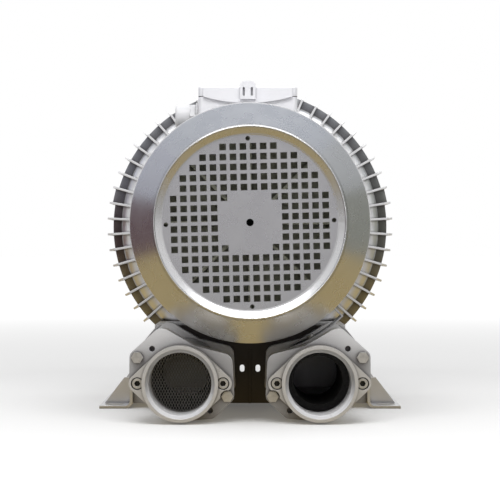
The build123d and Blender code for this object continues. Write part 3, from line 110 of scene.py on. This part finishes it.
RIM_FACE_SLOPE = 0.85           # how steeply the rim's face is drawn to fall away outward
CHANNEL_SLOPE = 0.75            # how much the channel's outside is drawn flatter

# Paint of the cowl and of the ports
RECESS_IN = 0.083               # radii of the cowl's recess wall, and how steep it is drawn
RECESS_OUT = 0.0885
RECESS_LEAN = 0.5
LIP_IN = 0.0897                 # the same for the cowl's front lip
LIP_OUT = 0.0918
LIP_LEAN = 0.8
PORT_SIDE = 0.066               # port axes, from the middle and above the floor
PORT_HEIGHT = 0.038
PORT_EDGE_IN = 0.0302           # radii of the broken edge in the port's ring, and its drawn slope
PORT_EDGE_OUT = 0.0330
PORT_EDGE_LEAN = 0.9
PORT_EDGE_FADE = 0.0004         # width over which its bare metal, painted bright below, ends
PORT_LIT_BARE = (0.016, 0.046)      # heights between the bore's bare bottom, painted bright as light falling in, and its dull top

# Inlet guard
MESH_PITCH_ACROSS = 0.0027      # width and height of the diamonds
MESH_PITCH_UP = 0.0054
MESH_WIRE_RADIUS = 0.00028
MESH_WIRE_SIDES = 6
MESH_STEP = 0.0009              # length of the straight bits that a wavy wire is made of
MESH_LEAST_STEPS = 4
MESH_RIM = 0.0009               # width of the rim that clamps the wires
MESH_RIM_SEGMENTS = 96


# ---------------------------------------------------------------------------
# Material helpers
# ---------------------------------------------------------------------------

class Shader:
    """A material's node tree with short ways to add what the finishes need."""

    def __init__(self, name):
        self.material = bpy.data.materials.new(name)
        self.material.use_nodes = True
        self.tree = self.material.node_tree
        self.bsdf = self.tree.nodes["Principled BSDF"]
        self.coords = self.tree.nodes.new("ShaderNodeTexCoord").outputs["Object"]

    def node(self, kind, **inputs):
        """New node; an underscore in an input's name stands for a space."""
        made = self.tree.nodes.new(kind)
        for key, value in inputs.items():
            self.put(made.inputs[key.replace("_", " ")], value)
        return made

    def put(self, socket, value):
        """Link an output to the socket, or set the socket to a plain value."""
        if isinstance(value, bpy.types.NodeSocket):
            self.tree.links.new(value, socket)
        else:
            socket.default_value = value

    def stretched(self, scale):
        """Coordinates with a scale of their own along each axis."""
        mapping = self.node("ShaderNodeMapping", Vector=self.coords, Scale=scale)
        return mapping.outputs["Vector"]

    def noise(self, scale, detail=3.0, roughness=0.55, vector=None):
        made = self.node("ShaderNodeTexNoise", Vector=vector or self.coords, Scale=scale,
                         Detail=detail, Roughness=roughness)
        return made.outputs["Fac"]

    def fit(self, value, low, high, from_low=NOISE_LOW, from_high=NOISE_HIGH):
        """Value moved from its own limits to low and high, and held there beyond them."""
        made = self.node("ShaderNodeMapRange", Value=value)
        made.inputs["From Min"].default_value = from_low
        made.inputs["From Max"].default_value = from_high
        made.inputs["To Min"].default_value = low
        made.inputs["To Max"].default_value = high
        return made.outputs["Result"]

    def mix(self, factor, first, second):
        made = self.tree.nodes.new("ShaderNodeMix")
        made.data_type = "RGBA"
        self.put(made.inputs["Factor"], factor)
        self.put(made.inputs["A"], rgba(first))
        self.put(made.inputs["B"], rgba(second))
        return made.outputs["Result"]

    def math(self, operation, first, second=0.0, third=0.0):
        made = self.tree.nodes.new("ShaderNodeMath")
        made.operation = operation
        self.put(made.inputs[0], first)
        self.put(made.inputs[1], second)
        self.put(made.inputs[2], third)
        return made.outputs["Value"]

    def axis_radius(self, side=0.0, height=AXIS_HEIGHT):
        """Distance from an axis along y, or from a mirrored pair of them, in metres."""
        x, _, z = self.split(self.coords)
        across = self.math("SUBTRACT", self.math("ABSOLUTE", x), side)
        above = self.math("SUBTRACT", z, height)
        squares = self.math("ADD", self.math("MULTIPLY", across, across),
                            self.math("MULTIPLY", above, above))
        return self.math("SQRT", squares)

    def split(self, vector):
        """The x, y and z of a vector."""
        return self.node("ShaderNodeSeparateXYZ", Vector=vector).outputs[:]

    def facing_fan_end(self, limits):
        """1 on faces that look at the fan end, 0 elsewhere; the limits are the normal's y."""
        normal = self.tree.nodes.new("ShaderNodeNewGeometry").outputs["True Normal"]
        return self.fit(self.split(normal)[1], 1.0, 0.0, *limits)

    def crevices(self, reach):
        """1 in the open, towards 0 in corners and between fins."""
        made = self.tree.nodes.new("ShaderNodeAmbientOcclusion")
        made.samples = CREVICE_SAMPLES
        made.inputs["Distance"].default_value = reach
        return made.outputs["AO"]

    def open_share(self, reach, limits):
        """1 in the open, 0 in corners; the limits are values of crevices."""
        return self.fit(self.crevices(reach), 0.0, 1.0, *limits)

    def covered_share(self, reach, limits):
        """0 in the open, 1 in corners; the limits are values of crevices."""
        return self.fit(self.crevices(reach), 1.0, 0.0, *limits)

    def rounded(self, radius):
        """Normals that round the edges of the surface by this radius."""
        made = self.tree.nodes.new("ShaderNodeBevel")
        made.samples = EDGE_SAMPLES
        made.inputs["Radius"].default_value = radius
        return made.outputs["Normal"]

    def bump(self, height, strength, distance, edge_radius=0.0, lean=None):
        """Small relief over softened edges; lean is a height in metres that tilts wide faces."""
        normal = self.rounded(edge_radius) if edge_radius else None
        if lean is not None:
            tilted = self.node("ShaderNodeBump", Height=lean, Strength=1.0, Distance=1.0)
            if normal:
                self.put(tilted.inputs["Normal"], normal)
            normal = tilted.outputs["Normal"]
        made = self.node("ShaderNodeBump", Height=height, Strength=strength, Distance=distance)
        if normal:
            self.put(made.inputs["Normal"], normal)
        self.put(self.bsdf.inputs["Normal"], made.outputs["Normal"])

    def set(self, **inputs):
        """Inputs of the surface itself, named as in node."""
        for key, value in inputs.items():
            self.put(self.bsdf.inputs[key.replace("_", " ")], value)


def rgba(colour):
    if isinstance(colour, bpy.types.NodeSocket):
        return colour
    return (*colour, 1.0)


def shade(colour, factor):
    """Darker below 1, lighter above."""
    return [c * factor for c in colour]


# ---------------------------------------------------------------------------
# Finishes
# ---------------------------------------------------------------------------

def flaked(s, colour, crevice=0.004, dust=DIRT_AND_SHADE):
    """Silver paint colour: a little cloudy with dust, and darkened in corners as painted shade."""
    clouds = s.fit(s.noise(scale=30.0), 0.0, 0.06)
    cloudy_colour = s.mix(clouds, colour, dust)
    # Painted shade: corners darken towards this colour.
    return s.mix(s.open_share(crevice, (0.25, 0.85)), dust, cloudy_colour)


def drifting(s, low, high):
    """Roughness of paint, shinier in some patches than in others."""
    return s.fit(s.noise(scale=45.0), low, high)


def silver_paint(name, colour, roughness, grain_scale, grain,
                 crevice=0.006, edge=0.0005, metallic=0.8, dust=DIRT_AND_SHADE):
    """Silver paint that is the same all over a piece."""
    s = Shader(name)
    s.set(Base_Color=flaked(s, colour, crevice, dust), Metallic=metallic,
          Roughness=drifting(s, roughness - 0.04, roughness + 0.05))
    relief = s.noise(grain_scale, detail=4.0, roughness=0.6)
    s.bump(relief, strength=grain, distance=0.0004, edge_radius=edge)
    return s.material


def casting_paint(name, ring_colour, block_colour):
    """Silver paint on the castings, with painted shade: black on the duct block's front wall, dark on
    covered faces, darker low down.
    """
    s = Shader(name)
    x, y, z = s.split(s.coords)
    facing = s.facing_fan_end(FACING_FLAT)
    channel = s.math("COMPARE", y, 0.0, RIM_FACE_Y - RIM_FACE_SPAN)

    # Painted shade: the paint is darker low down, on the duct block, than on the ring.
    painted = flaked(s, s.mix(s.fit(z, 0.0, 1.0, *RING_ABOVE), block_colour, ring_colour))
    # Painted shade on covered faces that look at the fan end, outside the fin channel.
    under_cover_shade = s.math("MULTIPLY", facing, s.covered_share(SHADE_COVER_REACH, SHADE_COVER_RANGE))
    under_cover_shade = s.math("MULTIPLY", under_cover_shade, s.math("SUBTRACT", 1.0, channel))
    painted = s.mix(under_cover_shade, painted, PAINTED_SHADE_UNDER_COVER)
    # Painted shade: the duct block's front wall between the silencers is painted black.
    front_wall = s.math("COMPARE", y, SHADE_WALL_Y, SHADE_WALL_HALF_DEPTH)
    middle = s.fit(s.math("ABSOLUTE", x), 1.0, 0.0, *SHADE_WALL_FADE_X)
    painted_black_shade = s.math("MULTIPLY", front_wall, middle)

    rim_face = s.math("MULTIPLY", facing, s.math("COMPARE", y, RIM_FACE_Y, RIM_FACE_SPAN))
    curved = s.math("SUBTRACT", s.facing_fan_end(FACING_CURVED), facing)
    curved = s.math("MULTIPLY", channel, curved)
    shiny = s.math("ADD", rim_face, curved)
    s.set(Base_Color=s.mix(painted_black_shade, painted, PAINTED_SHADE_BLACK), Metallic=s.fit(shiny, 0.35, 0.92),
          Roughness=drifting(s, 0.33, 0.42))

    # Between the fins the channel's outside is drawn flatter, and the rim's face falls away outward
    slope = s.math("ADD", s.math("MULTIPLY", rim_face, -RIM_FACE_SLOPE),
                   s.math("MULTIPLY", curved, CHANNEL_SLOPE))
    lean = s.math("MULTIPLY", s.math("SUBTRACT", s.axis_radius(), RIM_FACE_IN), slope)
    relief = s.noise(scale=900.0, detail=4.0, roughness=0.6)
    s.bump(relief, strength=0.10, distance=0.0004, edge_radius=0.0005, lean=lean)
    return s.material


def pressed_cowl_paint(name, colour):
    """Glossy silver paint on the pressed cowl, whose recess and front lip are softly drawn."""
    s = Shader(name)
    s.set(Base_Color=flaked(s, colour), Metallic=0.88, Roughness=drifting(s, 0.24, 0.31))
    radius = s.axis_radius()
    recess = s.fit(radius, 0.0, -RECESS_LEAN * (RECESS_OUT - RECESS_IN), RECESS_IN, RECESS_OUT)
    lip = s.fit(radius, 0.0, -LIP_LEAN * (LIP_OUT - LIP_IN), LIP_IN, LIP_OUT)
    relief = s.noise(scale=1600.0, detail=3.0, roughness=0.6)
    s.bump(relief, strength=0.012, distance=0.0003, lean=s.math("ADD", recess, lip))
    return s.material


def port_ring_metal(name, colour, bare):
    """Cast port, painted outside. Its bore and its ring's broken edge are bare, with painted light making
    them bright mostly at the bottom.
    """
    s = Shader(name)
    radius = s.axis_radius(PORT_SIDE, PORT_HEIGHT)
    # Painted light: the bare bore is bright at the bottom, where light falls in, and dull at the top.
    lower = s.fit(s.split(s.coords)[2], 1.0, 0.0, *PORT_LIT_BARE)
    inside = s.fit(radius, 1.0, 0.0, PORT_EDGE_OUT - PORT_EDGE_FADE, PORT_EDGE_OUT)
    lit_bore = s.math("MULTIPLY", lower, inside)
    s.set(Base_Color=s.mix(lit_bore, flaked(s, colour), bare), Metallic=s.fit(lit_bore, 0.3, 0.0),
          Roughness=drifting(s, 0.27, 0.35))
    edge = s.fit(radius, 0.0, PORT_EDGE_LEAN * (PORT_EDGE_OUT - PORT_EDGE_IN), PORT_EDGE_IN, PORT_EDGE_OUT)
    relief = s.noise(scale=1000.0, detail=4.0, roughness=0.6)
    s.bump(relief, strength=0.04, distance=0.0004, edge_radius=0.0006, lean=edge)
    return s.material


def turned_metal(name, colour, roughness):
    """Turned or ground metal with fine grooves round its axis, with painted shade inside holes."""
    s = Shader(name)
    grooves = s.noise(1.0, detail=2.0, roughness=0.5, vector=s.stretched((20.0, 900.0, 20.0)))
    bright = s.mix(grooves, shade(colour, 0.86), colour)
    # Painted shade inside holes.
    hole_shade = (0.008, 0.008, 0.008)
    s.set(Base_Color=s.mix(s.open_share(0.010, (0.3, 0.7)), hole_shade, bright), Metallic=1.0,
          Roughness=s.fit(grooves, roughness, roughness + 0.12))
    s.bump(grooves, strength=0.15, distance=0.0001, edge_radius=0.0003)
    return s.material


def plated_steel(name, colour):
    """Zinc plated fasteners, a little dull in patches, with painted shade inside their sockets."""
    s = Shader(name)
    patches = s.fit(s.noise(scale=220.0, detail=4.0), 0.0, 1.0)
    plating = s.mix(patches, shade(colour, 0.72), colour)
    # Painted shade inside the sockets.
    socket = (0.010, 0.009, 0.008)
    s.set(Base_Color=s.mix(s.open_share(0.006, (0.35, 0.75)), socket, plating), Metallic=0.8,
          Roughness=s.fit(s.noise(scale=300.0), 0.30, 0.46))
    s.bump(s.noise(scale=1400.0), strength=0.08, distance=0.0002, edge_radius=0.0003)
    return s.material


def moulded_plastic(name, colour, roughness, grain_scale=900.0):
    """Plastic with a fine grain, a little cloudy, with painted shade in corners."""
    s = Shader(name)
    cloudy = s.mix(s.fit(s.noise(scale=60.0), 0.0, 1.0), shade(colour, 0.88), colour)
    # Painted shade in corners.
    corners = s.covered_share(0.005, (0.35, 0.85))
    s.set(Base_Color=s.mix(corners, cloudy, shade(colour, 0.15)),
          Roughness=s.fit(s.noise(scale=140.0), roughness - 0.05, roughness + 0.08))
    s.bump(s.noise(grain_scale, detail=3.0), strength=0.12, distance=0.0002, edge_radius=0.0004)
    return s.material


def rubber(name, colour):
    """Dull black seals with a fine grain."""
    s = Shader(name)
    s.set(Base_Color=s.mix(s.noise(scale=400.0), shade(colour, 0.7), shade(colour, 1.3)),
          Roughness=s.fit(s.noise(scale=500.0), 0.6, 0.8))
    s.bump(s.noise(scale=2500.0), strength=0.2, distance=0.0002)
    return s.material


def foam(name, colour):
    """Open-cell foam: small round pits."""
    s = Shader(name)
    cells = s.node("ShaderNodeTexVoronoi", Vector=s.coords, Scale=650.0)
    pits = cells.outputs["Distance"]
    depth = s.fit(pits, 0.0, 1.0, from_low=0.0, from_high=0.6)
    s.set(Base_Color=s.mix(depth, shade(colour, 0.3), colour), Roughness=0.95)
    s.bump(pits, strength=0.8, distance=0.0006)
    return s.material


def laminations(name, colour):
    """Stacked electrical steel: fine lines across the rotor axis."""
    s = Shader(name)
    sheets = s.noise(1.0, detail=1.0, roughness=0.4, vector=s.stretched((15.0, 2200.0, 15.0)))
    s.set(Base_Color=s.mix(sheets, shade(colour, 0.55), colour), Metallic=0.9,
          Roughness=s.fit(sheets, 0.38, 0.55))
    s.bump(sheets, strength=0.35, distance=0.0002)
    return s.material


def winding(name, colour):
    """Varnished copper wire, wound in bundles."""
    s = Shader(name)
    wires = s.noise(1.0, detail=3.0, roughness=0.6, vector=s.stretched((700.0, 180.0, 700.0)))
    s.set(Base_Color=s.mix(wires, shade(colour, 0.45), colour), Metallic=0.85,
          Roughness=s.fit(wires, 0.3, 0.45), Coat_Weight=0.5)
    s.bump(wires, strength=0.6, distance=0.0006)
    return s.material


def fibre_sheet(name, colour):
    """Pressed gasket sheet."""
    s = Shader(name)
    fibres = s.noise(scale=900.0, detail=5.0, roughness=0.7)
    s.set(Base_Color=s.mix(fibres, shade(colour, 0.6), shade(colour, 1.4)),
          Roughness=s.fit(fibres, 0.7, 0.9))
    s.bump(fibres, strength=0.25, distance=0.0002)
    return s.material


def finishes():
    """One material for each of the record's slots."""
    made = {}

    def finish(slot, maker, *look, **more):
        made[slot] = maker(slot, *look, **more)

    finish("cast_paint", casting_paint, ring_colour=(0.88, 0.88, 0.89), block_colour=(0.50, 0.50, 0.51))
    finish("motor_paint", silver_paint, (0.34, 0.34, 0.35), 0.40, grain_scale=900.0, grain=0.10)
    finish("cowl_paint", pressed_cowl_paint, (0.62, 0.62, 0.63))
    finish("box_paint", silver_paint, (0.92, 0.92, 0.95), 0.42, grain_scale=900.0, grain=0.06,
           crevice=0.003, metallic=0.2, dust=(0.50, 0.50, 0.52))
    finish("port_metal", port_ring_metal, colour=(0.56, 0.54, 0.51), bare=(0.95, 0.95, 0.97))
    finish("foot_paint", silver_paint, (0.60, 0.60, 0.61), 0.38, grain_scale=1100.0, grain=0.05,
           crevice=0.005)
    finish("screw_steel", plated_steel, (0.62, 0.61, 0.59))
    finish("shaft_steel", turned_metal, (0.60, 0.60, 0.62), roughness=0.22)
    finish("bearing_steel", turned_metal, (0.70, 0.70, 0.72), roughness=0.12)
    finish("cage_plastic", moulded_plastic, (0.10, 0.22, 0.12), roughness=0.5)
    finish("lamination", laminations, (0.30, 0.30, 0.32))
    finish("copper", winding, (0.60, 0.27, 0.12))
    finish("raw_aluminium", silver_paint, (0.68, 0.68, 0.70), 0.42, grain_scale=700.0, grain=0.12,
           edge=0.0004, metallic=1.0)
    finish("fan_plastic", moulded_plastic, (0.46, 0.46, 0.36), roughness=0.45, grain_scale=500.0)
    finish("gland_plastic", moulded_plastic, (0.80, 0.80, 0.82), roughness=0.42)
    finish("board_plastic", moulded_plastic, (0.05, 0.05, 0.05), roughness=0.35)
    finish("seal_rubber", rubber, (0.035, 0.035, 0.035))
    finish("gasket_fibre", fibre_sheet, (0.10, 0.09, 0.08))
    finish("lining_foam", foam, (0.020, 0.019, 0.019))
    finish("guard_mesh", silver_paint, (0.26, 0.25, 0.23), 0.40, grain_scale=900.0, grain=0.0,
           crevice=0.0006, edge=0.0)
    return made


def paint_nodes(materials):
    """Give every node the material of its slot."""
    for part in frame["record"]["subparts"]:
        mesh = frame["nodes"][part["node"]].data
        mesh.materials.clear()
        mesh.materials.append(materials[part["material_slot"]])


# ---------------------------------------------------------------------------
# Inlet guard: woven wire with tall diamonds, clamped in a thin rim
# ---------------------------------------------------------------------------

def tube_along(made, points, radius, sides):
    """Round tube through points that lie near one plane facing -Y."""
    rings = []
    for n, point in enumerate(points):
        ahead = points[min(n + 1, len(points) - 1)] - points[max(n - 1, 0)]
        across = ahead.cross(Vector((0, 1, 0))).normalized()
        up = across.cross(ahead).normalized()
        ring = []
        for k in range(sides):
            turn = 2 * math.pi * k / sides
            ring.append(made.verts.new(point + radius * (across * math.cos(turn) + up * math.sin(turn))))
        rings.append(ring)
    for first, second in zip(rings, rings[1:]):
        for k in range(sides):
            after = (k + 1) % sides
            made.faces.new((first[k], first[after], second[after], second[k]))
    made.faces.new(rings[0][::-1])
    made.faces.new(rings[-1])


def guard_wires(made, centre, radius):
    """Two families of straight wires that pass over and under each other."""
    lean = math.atan2(MESH_PITCH_ACROSS, MESH_PITCH_UP)
    spacing = MESH_PITCH_ACROSS * math.cos(lean)
    crossing = MESH_PITCH_ACROSS / (2 * math.sin(lean))
    count = int(radius / spacing)
    for family in (-1, 1):
        along = Vector((family * math.sin(lean), 0, math.cos(lean)))
        across = Vector((math.cos(lean), 0, -family * math.sin(lean)))
        for n in range(-count, count + 1):
            offset = n * spacing
            half = math.sqrt(max(radius ** 2 - offset ** 2, 0.0))
            if half < MESH_PITCH_UP:
                continue
            steps = max(MESH_LEAST_STEPS, round(2 * half / MESH_STEP))
            points = []
            for k in range(steps + 1):
                t = -half + 2 * half * k / steps
                depth = family * MESH_WIRE_RADIUS * math.cos(math.pi * (t / crossing + n))
                points.append(centre + across * offset + along * t + Vector((0, depth, 0)))
            tube_along(made, points, MESH_WIRE_RADIUS, MESH_WIRE_SIDES)


def guard_rim(made, centre, radius, half_thickness):
    """Flat ring that clamps the wires."""
    corners = [(radius, -half_thickness), (radius, half_thickness),
               (radius - MESH_RIM, half_thickness), (radius - MESH_RIM, -half_thickness)]
    rings = []
    for n in range(MESH_RIM_SEGMENTS):
        turn = 2 * math.pi * n / MESH_RIM_SEGMENTS
        outward = Vector((math.cos(turn), 0, math.sin(turn)))
        rings.append([made.verts.new(centre + outward * r + Vector((0, y, 0))) for r, y in corners])
    for n, first in enumerate(rings):
        second = rings[(n + 1) % MESH_RIM_SEGMENTS]
        for k in range(len(corners)):
            after = (k + 1) % len(corners)
            made.faces.new((first[k], second[k], second[after], first[after]))


def make_guard(material):
    """The woven guard, in the place of the solids' thin disc with square holes."""
    low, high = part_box("inlet_guard")
    centre = (low + high) / 2
    radius = (high.x - low.x) / 2
    made = bmesh.new()
    guard_wires(made, centre, radius - MESH_RIM / 2)
    guard_rim(made, centre, radius, (high.y - low.y) / 2)
    bmesh.ops.recalc_face_normals(made, faces=made.faces)
    mesh = bpy.data.meshes.new("guard_mesh")
    made.to_mesh(mesh)
    made.free()
    mesh.materials.append(material)
    guard = bpy.data.objects.new("woven_guard", mesh)
    bpy.context.scene.collection.objects.link(guard)
    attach(guard, "housing")
    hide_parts("inlet_guard")


# ---------------------------------------------------------------------------
# Camera, floor, cards and lamps
# ---------------------------------------------------------------------------

def make_camera():
    """Level camera before the fan end."""
    data = bpy.data.cameras.new("camera")
    data.sensor_width = SENSOR
    data.lens = FOCAL_PIXELS / IMAGE_SIZE * SENSOR
    data.clip_end = CAMERA_REACH
    camera = bpy.data.objects.new("camera", data)
    camera.location = (CAMERA_X, cad_low.y - CAMERA_BEFORE_COWL, CAMERA_Z)
    camera.rotation_euler = (math.radians(90), 0, 0)
    bpy.context.scene.collection.objects.link(camera)
    bpy.context.scene.camera = camera


def stage_plane(name, centre, across, up, material):
    """Rectangle round centre, from two half-side vectors."""
    centre, across, up = Vector(centre), Vector(across), Vector(up)
    corners = [centre - across - up, centre + across - up, centre + across + up, centre - across + up]
    mesh = bpy.data.meshes.new(name)
    mesh.from_pydata([tuple(c) for c in corners], [], [(0, 1, 2, 3)])
    mesh.materials.append(material)
    plane = bpy.data.objects.new(name, mesh)
    bpy.context.scene.collection.objects.link(plane)
    return plane


def make_floor():
    """Pale floor that shows white to the camera and keeps the object's shadow."""
    s = Shader("floor")
    s.set(Base_Color=rgba(FLOOR_COLOUR), Roughness=1.0, Specular_IOR_Level=0.0)
    seen = s.tree.nodes.new("ShaderNodeLightPath").outputs["Is Camera Ray"]
    distance = s.node("ShaderNodeVectorMath", Vector=s.coords)
    distance.operation = "LENGTH"
    fill = s.fit(distance.outputs["Value"], FLOOR_FILL_NEAR, FLOOR_FILL_FAR, *FLOOR_FILL_RANGE)
    s.set(Emission_Color=rgba(WHITE), Emission_Strength=s.math("MULTIPLY", seen, fill))
    stage_plane("floor", (0, 0, 0), (FLOOR_HALF_SIDE, 0, 0), (0, FLOOR_HALF_SIDE, 0), s.material)


def make_card(name, centre, across, up, colour):
    """Glowing card that only reflections see, from two half-side vectors."""
    material = bpy.data.materials.new(name)
    material.use_nodes = True
    nodes = material.node_tree.nodes
    nodes.clear()
    glow = nodes.new("ShaderNodeEmission")
    glow.inputs["Color"].default_value = rgba(colour)
    output = nodes.new("ShaderNodeOutputMaterial")
    material.node_tree.links.new(glow.outputs["Emission"], output.inputs["Surface"])
    card = stage_plane(name, centre, across, up, material)
    card.visible_camera = False
    card.visible_diffuse = False
    card.visible_transmission = False
    card.visible_shadow = False


def make_cards():
    """What the shiny paint mirrors: tan from below, darker low at the sides, pale greys elsewhere."""
    make_card("card_below", centre=(0.0, -0.10, CARD_LIFT), across=(0.75, 0, 0), up=(0, 0.45, 0),
              colour=(0.46, 0.35, 0.14))
    make_card("card_floor_ahead", centre=(0.0, -1.35, CARD_LIFT), across=(0.9, 0, 0), up=(0, 0.8, 0),
              colour=(0.42, 0.42, 0.43))
    make_card("card_left", centre=(-0.60, -0.10, 0.17), across=(0, 0.35, 0), up=(0, 0, 0.16),
              colour=(0.095, 0.040, 0.052))
    make_card("card_upper_left", centre=(-0.71, -0.10, 0.665), across=(0, 0.35, 0), up=(-0.09, 0, 0.335),
              colour=(0.50, 0.52, 0.60))
    make_card("card_right", centre=(0.60, -0.10, 0.20), across=(0, 0.35, 0), up=(0, 0, 0.19),
              colour=(0.26, 0.27, 0.23))
    make_card("card_upper_right", centre=(0.71, -0.10, 0.695), across=(0, 0.35, 0), up=(0.09, 0, 0.305),
              colour=(0.48, 0.50, 0.51))
    make_card("card_above", centre=(0.0, -0.05, 1.0), across=(0.85, 0, 0), up=(0, 0.25, 0),
              colour=(0.47, 0.51, 0.58))
    make_card("card_behind_camera", centre=(0.0, -2.4, 0.45), across=(0.9, 0, 0), up=(0, 0, 0.5),
              colour=(0.47, 0.46, 0.48))


def make_lamp(name, place, target, size, watts):
    """Rectangular lamp that looks at target."""
    data = bpy.data.lights.new(name, "AREA")
    data.shape = "RECTANGLE"
    data.size, data.size_y = size
    data.energy = watts
    lamp = bpy.data.objects.new(name, data)
    lamp.location = place
    lamp.rotation_euler = (Vector(target) - Vector(place)).to_track_quat("-Z", "Y").to_euler()
    bpy.context.scene.collection.objects.link(lamp)


def make_world():
    """White to the camera and to reflections, and a softer light on everything else."""
    world = bpy.data.worlds.new("studio")
    world.use_nodes = True
    bpy.context.scene.world = world
    tree = world.node_tree
    background = tree.nodes["Background"]
    background.inputs["Color"].default_value = rgba(WHITE)
    rays = tree.nodes.new("ShaderNodeLightPath")
    shown = rays.outputs["Is Camera Ray"]
    for name in ("Is Glossy Ray", "Is Transmission Ray"):
        either = tree.nodes.new("ShaderNodeMath")
        either.operation = "MAXIMUM"
        tree.links.new(shown, either.inputs[0])
        tree.links.new(rays.outputs[name], either.inputs[1])
        shown = either.outputs["Value"]
    strength = tree.nodes.new("ShaderNodeMapRange")
    tree.links.new(shown, strength.inputs["Value"])
    strength.inputs["To Min"].default_value = AMBIENT
    strength.inputs["To Max"].default_value = 1.0
    tree.links.new(strength.outputs["Result"], background.inputs["Strength"])


def make_stage():
    make_world()
    make_floor()
    make_cards()
    make_lamp("softbox_above", place=(0.0, 0.0, 1.6), target=(0, 0, 0), size=(1.6, 1.4), watts=9.0)
    make_lamp("softbox_near", place=(0.0, -0.62, 0.90), target=(0, -0.12, 0.1), size=(0.9, 0.30), watts=4.6)
    bpy.context.scene.view_settings.view_transform = "Standard"


# ---------------------------------------------------------------------------
# The scene
# ---------------------------------------------------------------------------

materials = finishes()
paint_nodes(materials)
make_guard(materials["guard_mesh"])
make_camera()
make_stage()
